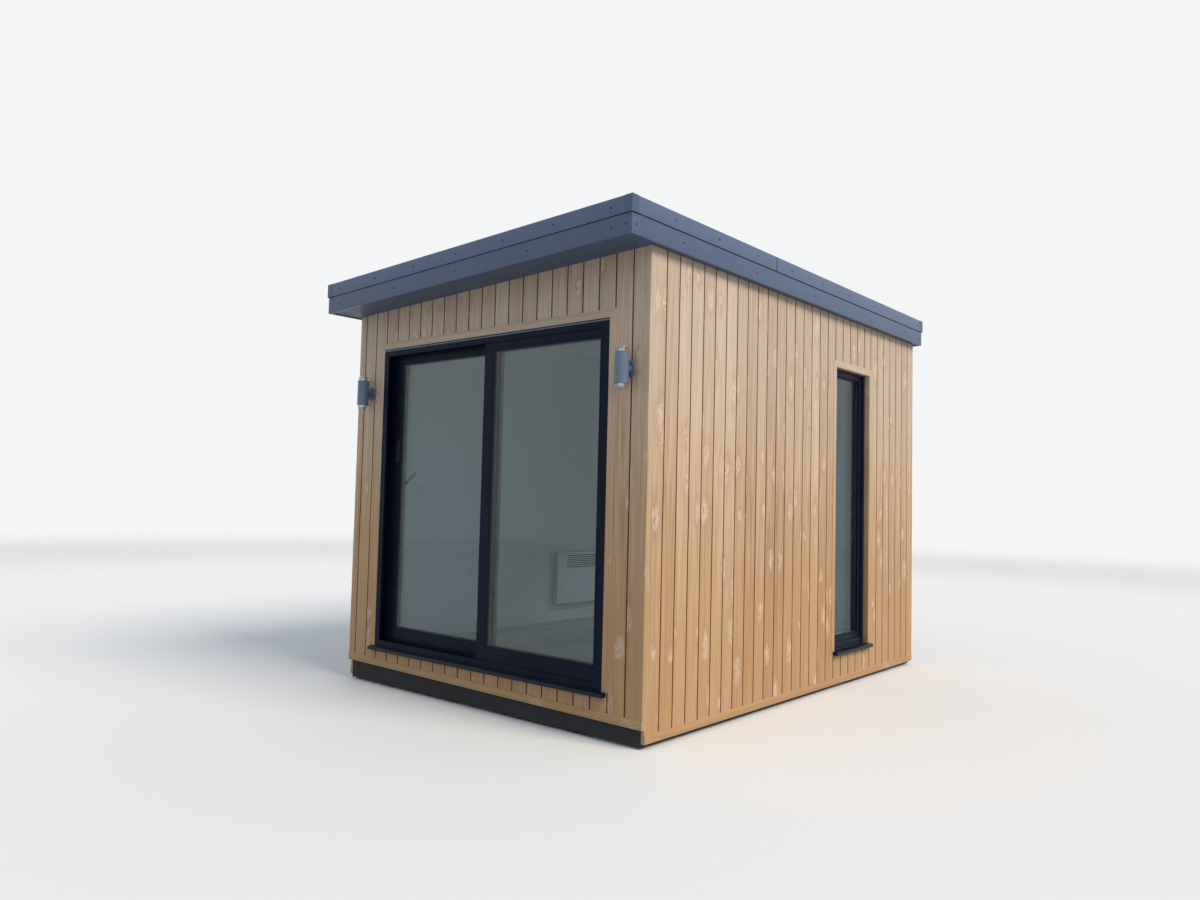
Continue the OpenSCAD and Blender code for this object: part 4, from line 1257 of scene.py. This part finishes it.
def glazed(name, body, node, at, rect, widths, glass):
    """Two panes, a spacer and two gaskets. A pane is one loop at the depths d and d + its thickness.

    The loop is the frame's opening less a hair of play on every side."""
    panes, bars, seals = Pile(), Pile(), Pile()
    u0, u1 = rect[0] + widths[0] + pane_play, rect[1] - widths[1] - pane_play
    v0, v1 = rect[2] + widths[2] + pane_play, rect[3] - widths[3] - pane_play
    u, v = np.array([u0, u1, u1, u0]), np.array([v0, v0, v1, v1])
    for d in (front_pane, back_pane):
        panes.add([at(u, v, np.full(4, d)), at(u, v, np.full(4, d + pane_thk))])
    panes.make(name + "_panes", glass, body, "clear_glass", (node,))
    mitred(bars, at, rect, widths, spacer_section)
    bars.make(name + "_spacer", spacer_black, body, "black_metal")
    mitred(seals, at, rect, widths, gasket_front)
    mitred(seals, at, rect, widths, gasket_back)
    seals.make(name + "_gasket", gasket_rubber, body, "membrane", smooth=60)


glazed("fixed", "pod", "fixed_glass", door_at(fixed_y), fixed_rect, fixed_widths, pane_glass)
glazed("sliding", "leaf", "sliding_glass", door_at(leaf_y), leaf_rect, leaf_widths, pane_glass)

# %% [markdown]
# ## The side window
# The fixed window has an outer frame set back behind the timber, and a bead set back from
# that, so from outside two steps of black metal lead down to the glass.

# %% Window frame and glazing
frame_low, frame_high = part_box("window_frame")


def window_at(u, v, d):
    """u along Y, v along Z, d into the room from the frame's outside face."""
    return np.stack([frame_high.x - d, u, v], axis=1)


window_rect = (frame_low.y, frame_high.y, frame_low.z, frame_high.z)
window_widths = (pane_low.y - frame_low.y, frame_high.y - pane_high.y,
                 pane_low.z - frame_low.z, frame_high.z - pane_high.z)
window_section = in_metres([
    (0, 0, 0.6), (0, 0.6, 0), (1, -37.4, 0), (1, -36.2, 1.2), (1, -35.8, 11.0), (1, -34.4, 12.2),
    (1, -9.0, 12.6), (1, -8.4, 13.4), (1, -7.8, 12.9), (1, -3.0, 13.8), (1, 0, 18.0), (1, 0, 62.0),
    (1, -4.0, 65.0), (1, -30.0, 65.6), (1, -31.0, 69.2), (1, -32.0, 70.0), (0, 0.6, 70.0), (0, 0, 69.4)])
sash = Pile()
mitred(sash, window_at, window_rect, window_widths, window_section)
sash.make("window_sash", frame_black, slot="black_metal", replaces=("window_frame",))
glass_back = frame_high.x - pane_high.x - front_pane
glazed("window", "pod", "window_glass", lambda u, v, d: window_at(u, v, d + glass_back),
       window_rect, window_widths, window_pane_glass)

# %% [markdown]
# ## Sills
# The sills are pressed from sheet: a sloped top, a nose and a short drip that throws the
# rain off the boards. Their ends are closed by small caps that stand a little over the
# top. The door and the window have the same section, so the window's sill is the door's,
# carried along the side wall.

# %% Door sill and window sill
cap_thk, cap_gap = 1.8 * MM, 1.6 * MM
drip_thk, drip_high = 6 * MM, 8 * MM


def sill_section(nose, base, top):
    """Out and up: the drip's foot and back, the underside, the wall, the sloped top and a soft bend."""
    return np.array([
        (nose, base), (nose + drip_thk - 0.6 * MM, base), (nose + drip_thk, base + 0.6 * MM),
        (nose + drip_thk, base + drip_high), (0.0, base + drip_high), (0.0, top),
        (nose + 2.4 * MM, top - 5.6 * MM), (nose + 0.9 * MM, top - 6.6 * MM),
        (nose + 0.1 * MM, top - 8.6 * MM)])


def pressed_sill(name, node, wall_point, run, inward, first, last, body_low, body_high):
    """The section and two end caps carried along run: place = wall_point + distance run + out inward + up.

    first and last are the ends along run. A block fills the space inside the wall."""
    pile = Pile()
    wall_point, run = np.asarray(wall_point, float), np.asarray(run, float)
    for section, spans in ((sill_profile, [(first + cap_gap, last - cap_gap)]),
                           (cap_profile, [(first, first + cap_thk), (last - cap_thk, last)])):
        for span in spans:
            ends = [wall_point + run * place for place in span]
            pile.add(carried(section, ends, inward, (0, 0, 1)))
    pile.add(block(body_low, body_high))
    pile.make(name, sill_black, slot="black_metal", replaces=(node,))


sill_low, sill_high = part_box("door_sill")
nose = sill_low.y - front_y
sill_profile = sill_section(nose, wall_base, door_base)
cap_profile = rounded(-nose, 17.5 * MM, 1.6 * MM) + (nose, wall_base)
pressed_sill("door_sill_pressed", "door_sill", (0, front_y, 0), (1, 0, 0), (0, 1, 0),
             sill_low.x, sill_high.x, (door_x0, front_y, wall_base), (door_x1, sill_high.y, door_base))
side_low, side_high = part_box("window_sill")
pressed_sill("window_sill_pressed", "window_sill", (right_x, 0, 0), (0, 1, 0), (-1, 0, 0),
             side_low.y, side_high.y, (side_low.x, window_y0, wall_base), (right_x, window_y1, door_base))

# %% [markdown]
# ## Wall lamps
# Each lamp is a turned tube on a round rose, with a clear glass collar at both ends that
# holds a bulb. Turned shapes are circles of radius r at heights h, joined in order, so
# a list of (r, h) in millimetres is the whole drawing, as for a lathe.

# %% Lamp bodies, collars and bulbs
lathe_sides = 40
lamp_low, lamp_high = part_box("wall_lamps")
lamp_out = 66 * MM
lamp_mid = (lamp_low.z + lamp_high.z) / 2
half = (lamp_high.z - lamp_low.z) / 2 / MM
lamp_places = (-1106 * MM, 1123 * MM)


def turned(pile, centre, axis, profile, sides=lathe_sides):
    """Place = centre + h axis + r (cos t, sin t) in the plane across the axis."""
    axis = np.asarray(axis, float)
    first = np.cross(axis, (0, 0, 1)) if abs(axis[2]) < 0.9 else np.array((1.0, 0, 0))
    first = first / np.linalg.norm(first)
    second = np.cross(axis, first)
    t = np.linspace(0, 2 * math.pi, sides, endpoint=False)
    circle = np.cos(t)[:, None] * first + np.sin(t)[:, None] * second
    pile.add([np.asarray(centre, float) + h * MM * axis + r * MM * circle for r, h in profile])


rim = [(20, 7), (33.4, 6), (33.8, 0.8), (35.0, 0), (37.2, 0), (38, 0.8), (38, 7), (37.5, 7.6)]
tube = [(r, h - half) for r, h in rim] + [(r, half - h) for r, h in reversed(rim)]
rose = [(43, 0), (43, 9.4), (42.2, 11.2), (40.4, 12), (22.4, 12), (20, 14), (20, 56)]
collar = [(32.0, -5.5), (34.6, -5), (35, -4), (35, 22.6), (34.2, 25.2), (32.4, 26), (31.2, 25.2), (30.6, 23),
          (30.6, -5.3)]
bulb = [(30.0, -5.6), (30.2, 1.0), (29.6, 1.6), (21, 1.8), (18.5, 3.2), (18.0, 12), (20.5, 18), (24.6, 21.4),
        (24.8, 22.6), (23.6, 23.2), (2.0, 23.6)]
bodies, collars, bulbs = Pile(), Pile(), Pile()
for lamp_x in lamp_places:
    turned(bodies, (lamp_x, front_y - lamp_out, lamp_mid), (0, 0, 1), tube)
    turned(bodies, (lamp_x, front_y, lamp_mid), (0, -1, 0), rose)
    for s in (-1, 1):
        end = (lamp_x, front_y - lamp_out, lamp_mid + s * half * MM)
        turned(collars, end, (0, 0, s), collar)
        turned(bulbs, end, (0, 0, s), bulb)
bodies.make("lamp_tubes", lamp_grey, slot="lamp_metal", replaces=("wall_lamps",))
collars.make("lamp_collars", lens_glass, slot="lamp_glass", replaces=("lamp_lenses",))
bulbs.make("lamp_bulbs", bulb_chrome, slot="steel")

# %% [markdown]
# ## The finger pull
# Outside, the sliding panel has a flush finger pull: a rim with round ends over the
# pocket in the stile, and a grip bar in it. The rim is a ring of outlines, each a
# stadium, which is two half circles joined by straight sides.

# %% Pull handle
pull = Pile()
pull_wide, pull_long = pull_high.x - pull_low.x, pull_high.z - pull_low.z
pull_mid = ((pull_low.x + pull_high.x) / 2, (pull_low.z + pull_high.z) / 2)
rim_face = leaf_y - 4 * MM


def stadium(width, length, shrink=0.0, steps=8):
    """Two half circles of half the width less shrink, their centres length - width apart."""
    r = width / 2 - shrink
    t = np.linspace(0, math.pi, steps + 1)
    top = np.stack([r * np.cos(t), (length - width) / 2 + r * np.sin(t)], axis=1)
    return np.concatenate([top, -top])


rim_stops = [(0.0, leaf_y), (0.0, rim_face + 1.2 * MM), (0.9 * MM, rim_face), (3.1 * MM, rim_face),
             (rim_wide, rim_face + 1.0 * MM), (rim_wide, leaf_y)]
pull.add([facing_y(stadium(pull_wide, pull_long, shrink) + pull_mid, y) for shrink, y in rim_stops], ring=True)
grip_bar = rounded(5 * MM, pull_long - 14 * MM, 1 * MM) + (pull_low.x + 2 * MM, pull_low.z + 7 * MM)
pull.add([facing_y(grip_bar, y) for y in (rim_face, rim_face + 2 * MM)])
pull.make("finger_pull", pull_grey, body="leaf", slot="grey_metal", replaces=("pull_handle",))

# %% [markdown]
# ## The plate with its thumb turn
# Inside, a long plate with round ends carries a thumb turn, two screws and the lever. Its
# face edge is eased, so the outline shrinks over the last millimetre of its height.

# %% Lever plate
plate = Pile()
plate_y = leaf_y + panel_depth
plate_thk = 8.0
lever_x, lever_y, lever_z = pull_mid[0], plate_y + plate_thk * MM, 1.322
plate_mid = (lever_x, lever_z - 20 * MM)
plate_stops = ((0.0, 0.0), (0.0, 6.4), (0.5, 7.6), (1.6, plate_thk))
plate.add([facing_y(stadium(32 * MM, 210 * MM, shrink * MM) + plate_mid, plate_y + y * MM)
           for shrink, y in plate_stops])
thumb_boss = [(7, 0), (7, 12.6), (6.2, 13.7), (5.0, 14)]
turned(plate, (lever_x, lever_y, lever_z - 47 * MM), (0, 1, 0), thumb_boss)
thumb = rounded(8 * MM, 20 * MM, 1.8 * MM) + (lever_y + 13 * MM, lever_z - 57 * MM)
plate.add([facing_x(thumb, x) for x in (lever_x - 2.5 * MM, lever_x + 2.5 * MM)])
for up in (-85, 62):
    turned(plate, (lever_x, lever_y, lever_z + up * MM), (0, 1, 0), [(4.2, 0), (4.0, 0.9), (2.8, 1.2)], 16)
plate.make("lever_backplate", frame_black, body="leaf", slot="black_metal", replaces=("lever_plate",))

# %% [markdown]
# ## The lever
# The lever turns about its neck, so it is a piece of its own that rides on the lever's
# body. In the picture it stands turned up to the right. Its grip is a soft rectangle
# that swells toward the end: the cosine and the sine of the angle are raised to a power
# below one, which squares the ellipse.

# %% Lever grip
handle = Pile()
neck = [(12, 0), (12, 4.5), (11.4, 5.4), (9.2, 6.0), (8.6, 7.5), (8.6, 24), (10, 27), (10.6, 38), (10.0, 39.4),
        (8.6, 40)]
turned(handle, (lever_x, lever_y + seat, lever_z), (0, 1, 0), neck)
rise = math.radians(37)
out_way, up_way = np.array((math.cos(rise), 0, math.sin(rise))), np.array((-math.sin(rise), 0, math.cos(rise)))
grip_start = np.array((lever_x, lever_y + 33 * MM, lever_z))
grip_stops = ((4, 9.0, 6.8), (14, 9.2, 6.8), (40, 8.6, 6.2), (80, 8.6, 6.0), (108, 9.4, 6.4), (116, 8.6, 6.0),
              (119.4, 6.0, 4.4))


def squared(wave, power=0.55):
    """The wave's sign times its size raised to the power."""
    return np.sign(wave) * np.abs(wave) ** power


t = np.linspace(0, 2 * math.pi, 20, endpoint=False)
oval = np.column_stack([squared(np.cos(t)), squared(np.sin(t))]) * MM
handle.add([carried(oval * (wide, thick), [grip_start + out_way * s * MM], up_way, (0, 1, 0))[0]
            for s, wide, thick in grip_stops])
handle.make("lever_grip", frame_black, body="lever", slot="black_metal", replaces=("lever_handle",), smooth=50)

# %% [markdown]
# ## The panel heater
# Through the glass one sees a slim heater on the left wall. Its case has a grille of
# slots near the top, open to a black backing that paints the shade inside. So the front is built round the
# slots: slats that span the grille, and a cheek on each side of them. The case's sides, and a strip under the
# front, are painted grey as shade.

# %% Heater
heater_low, heater_high = (np.array(v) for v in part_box("panel_heater"))
wall_x, face_x = heater_low[0], heater_high[0]
y0, y1, z0, z1 = heater_low[1], heater_high[1], heater_low[2], heater_high[2]
case_deep, soft, hair = 8 * MM, 2.2 * MM, 0.3 * MM
body_stops = ((wall_x, 26.0), (wall_x + 22 * MM, 26.0), (wall_x + 23 * MM, 0.6), (wall_x + 25 * MM, 0.0),
              (face_x - case_deep - 1 * MM, 0.0), (face_x - case_deep, 0.2))
# The case behind the front is grey: painted shade on its sides, and a painted dark line under the front.
body = Pile()
body.add([facing_x(rounded(y1 - y0 - 2 * g * MM, z1 - z0 - 2 * g * MM, 9 * MM) + (y0 + g * MM, z0 + g * MM), x)
          for x, g in body_stops])
body.make("heater_body", heater_side_shade, slot="white_metal")

slot_tops = [z1 - 24 * MM - 16 * MM * i for i in range(7)]
slat_edges = [z0 + 14 * MM] + [z for top in reversed(slot_tops) for z in (top - 8 * MM, top)] + [z1 - 0.4 * MM]
grille = (y0 + 105 * MM, y1 - 105 * MM)
heater = Pile()
back_x, soft_x = face_x - case_deep, face_x - soft * 0.3
for low_z, high_z in zip(slat_edges[0::2], slat_edges[1::2]):
    section = np.array([(back_x, low_z), (face_x - soft, low_z), (soft_x, low_z + soft * 0.3),
                        (face_x, low_z + soft), (face_x, high_z - soft), (soft_x, high_z - soft * 0.3),
                        (face_x - soft, high_z), (back_x, high_z)])
    full_width = low_z == slat_edges[0] or high_z == slat_edges[-1]
    heater.add([facing_y(section, y) for y in ((y0 + hair, y1 - hair) if full_width else grille)])
for section in ([(back_x, y0 + hair), (face_x, y0 + hair + soft), (face_x, grille[0]), (back_x, grille[0])],
                [(back_x, grille[1]), (face_x, grille[1]), (face_x, y1 - hair - soft), (back_x, y1 - hair)]):
    heater.add(carried(section, [(0, 0, slat_edges[1]), (0, 0, slat_edges[-2])], (1, 0, 0), (0, 1, 0)))
heater.make("heater_case", heater_white, slot="white_metal", replaces=("panel_heater",))
# Painted shade: the black sheet behind the slots stands for the dark inside of the case.
backing = Pile()
backing.add(block((back_x, grille[0], slat_edges[1]), (back_x + 0.6 * MM, grille[1], slat_edges[-2])))
backing.make("heater_backing", plinth_black, slot="white_metal")

# %% [markdown]
# ## Switch and double socket
# A light switch and a double socket sit on the same wall. Each is moulded plastic with
# round corners and an eased face, and its rockers are smaller plates that stand a
# little prouder, so one function makes them all.

# %% Switch and socket
plates = Pile()
wall_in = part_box("wall_plates")[0].x
plate_soft = 1.4


def moulded(corner, y0, y1, z0, z1, back, front, radius):
    """A plate whose outline has round corners and shrinks over the last 1.4 mm before its face.

    Every number is in millimetres from the corner (y, z), and from the wall."""
    stops = ((back, 0.0), (front - plate_soft, 0.0), (front - plate_soft * 0.3, plate_soft * 0.3),
             (front, plate_soft))
    loops = [(wall_in + x * MM, rounded(y1 - y0 - 2 * g, z1 - z0 - 2 * g, radius) + (y0 + g, z0 + g))
             for x, g in stops]
    plates.add([facing_x(outline * MM + corner, x) for x, outline in loops])


switch_at = (front_y + 370 * MM, 1225 * MM)
socket_at = (front_y + 903 * MM, 635 * MM)
moulded(switch_at, 0, 86, 0, 86, 0, 7, 3)
moulded(switch_at, 33, 53, 26, 60, 6, 9, 1.5)
moulded(socket_at, 0, 146, 0, 86, 0, 7, 3)
for y in (22, 88):
    moulded(socket_at, y, y + 36, 14, 52, 6, 8, 2)
for y in (60, 74):
    moulded(socket_at, y, y + 10, 60, 76, 6, 9, 1)
plates.make("switch_and_socket", gloss_white, slot="white_plastic", replaces=("wall_plates",))

# %% [markdown]
# ## Roof covering
# From above, the roof is a rubber sheet that lies in a tray behind the edge trim. It is
# laid in widths that lap by a hand, and the laps show as low welts across the fall. A
# welt is a flat section carried along x that sways a little, as hand-laid sheet does.

# %% Laps in the membrane
welts = Pile()
sheet_up, inset, sway = 173.6 * MM, 66 * MM, 1.2 * MM
lap_section = np.array([(0, 0), (1, 0.9), (8, 1.4), (60, 1.4), (62, 0.9), (63, 0)]) * MM
along_x = np.linspace(roof_low.x + inset, roof_high.x - inset, 40)
for y in (-1.02, 0.08, 1.18):
    line_y = y + sway * np.sin(along_x * 5.1 + y * 3)
    origins = np.stack([along_x, line_y, soffit_z(along_x) + sheet_up], axis=1)
    welts.add(carried(lap_section, origins, (0, 1, 0), (0, 0, 1)))
welts.make("membrane_laps", roof_rubber, slot="membrane", smooth=60)

# %% [markdown]
# ## Nodes that stay as the CAD has them
# The rest keep their CAD solids, because their shapes are already right. Where an edge
# shows, it is eased by modifiers: the loose triangles are welded, flat faces are joined
# up, and a small bevel catches the light. The number after each finish is the bevel's
# width in millimetres.

# %% Finishes and eased edges
kept = {
    "base_pads": (concrete, 4.0), "floor_frame": (sawn_timber, 1.5), "plinth": (plinth_black, 0.6),
    "floor_deck": (deck_board, 0.0), "floor_finish": (floor_oak, 0.0), "inner_linings": (gloss_white, 1.0),
    "skirting": (gloss_white, 2.0), "soffit": (soffit_coat, 0.0), "roof_deck": (sawn_timber, 0.0),
    "roof_membrane": (roof_rubber, 0.0), "corner_covers": (anthracite_cover, 0.35), "rollers": (steel, 0.0)}
painted = ("front_wall_left", "front_wall_right", "front_wall_head", "left_wall", "back_wall", "right_wall",
           "ceiling")
coated = ("door_threshold", "door_head", "door_jambs")
kept.update({node: (wall_white, 0.0) for node in painted})
kept.update({node: (frame_black, 0.5) for node in coated})
for node, (material, width) in kept.items():
    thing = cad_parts[node]
    thing.data.materials.clear()
    thing.data.materials.append(material)
    if width:
        weld = thing.modifiers.new("weld", "WELD")
        weld.merge_threshold = 0.02 * MM
        flat = thing.modifiers.new("flat", "DECIMATE")
        flat.decimate_type, flat.angle_limit = "DISSOLVE", math.radians(0.6)
        bevel = thing.modifiers.new("edge", "BEVEL")
        bevel.width, bevel.segments, bevel.limit_method = width * MM, 2, "ANGLE"
        bevel.angle_limit = math.radians(50)
print("finished nodes", len(kept))

# %% [markdown]
# ## The studio floor
# The pod stands on a plain pale floor. The floor keeps the shadow, but a hard horizon
# would draw the eye, so the floor fades into the surround with the distance. The camera,
# the glass and the metal see its pale colour. Every other ray gets a duller one, so the
# floor doesn't throw so much light up at the eaves.

# %% Floor
reach, floor_thk = 60.0, 0.02
fade_near, fade_far = 9.0, 26.0
ground = Pile()
ground.add(block((-reach, -reach, -floor_thk), (reach, reach, 0.0)))
floor_paint = Finish("studio_floor", roughness=0.9)
spot = floor_paint.place()
faded = ((spot.part(0) ** 2.0 + spot.part(1) ** 2.0) ** 0.5).step(fade_near, fade_far)
floor_paint.set("Base Color", floor_paint.mix(floor_paint.seen(), (0.42, 0.42, 0.41), (0.84, 0.795, 0.725)))
nothing = floor_paint.node("ShaderNodeBsdfTransparent", {}, {"Color": (1.0, 1.0, 1.0)})
floor_paint.surface(floor_paint.node("ShaderNodeMixShader", {}, {0: faded, 1: floor_paint.shader, 2: nothing}))
studio_floor = ground.make("studio_floor", floor_paint.owner)

# %% [markdown]
# ## Daylight and backdrop
# Soft light comes from the whole sky and, stronger, from the right, as in the picture,
# where the side wall is bright and the front is in its own shade. The world has two
# colours: the camera, the glass and the metal see a pale surround, and every other ray
# gets a plain, slightly cool sky. The sun is as wide as a third of a right angle, so its
# shadows have soft edges.

# %% World and lamp
world = bpy.data.worlds.new("studio")
bpy.context.scene.world = world
air = Patterns(world, "ShaderNodeOutputWorld")
sky = air.node("ShaderNodeBackground", {}, {"Color": (0.46, 0.55, 0.70)})
surround_pale = air.node("ShaderNodeBackground", {}, {"Color": (0.90, 0.91, 0.92)})
air.surface(air.node("ShaderNodeMixShader", {}, {0: air.seen(), 1: sky, 2: surround_pale}))
sun_data = bpy.data.lights.new("soft_sun", "SUN")
sun_data.energy = 2.5
sun_data.angle = math.radians(30)
sun_data.color = (1.0, 0.965, 0.91)
sun = bpy.data.objects.new("soft_sun", sun_data)
toward_sun = Vector((5.0, 0.4, 4.4))
sun.matrix_world = toward_sun.to_track_quat("Z", "Y").to_matrix().to_4x4()
bpy.context.scene.collection.objects.link(sun)
bpy.context.scene.view_settings.view_transform = "Standard"
print("sun stands", round(math.degrees(math.asin(toward_sun.normalized().z))), "degrees high")

# %% [markdown]
# The dressed pod has to stay inside the box of its solids.
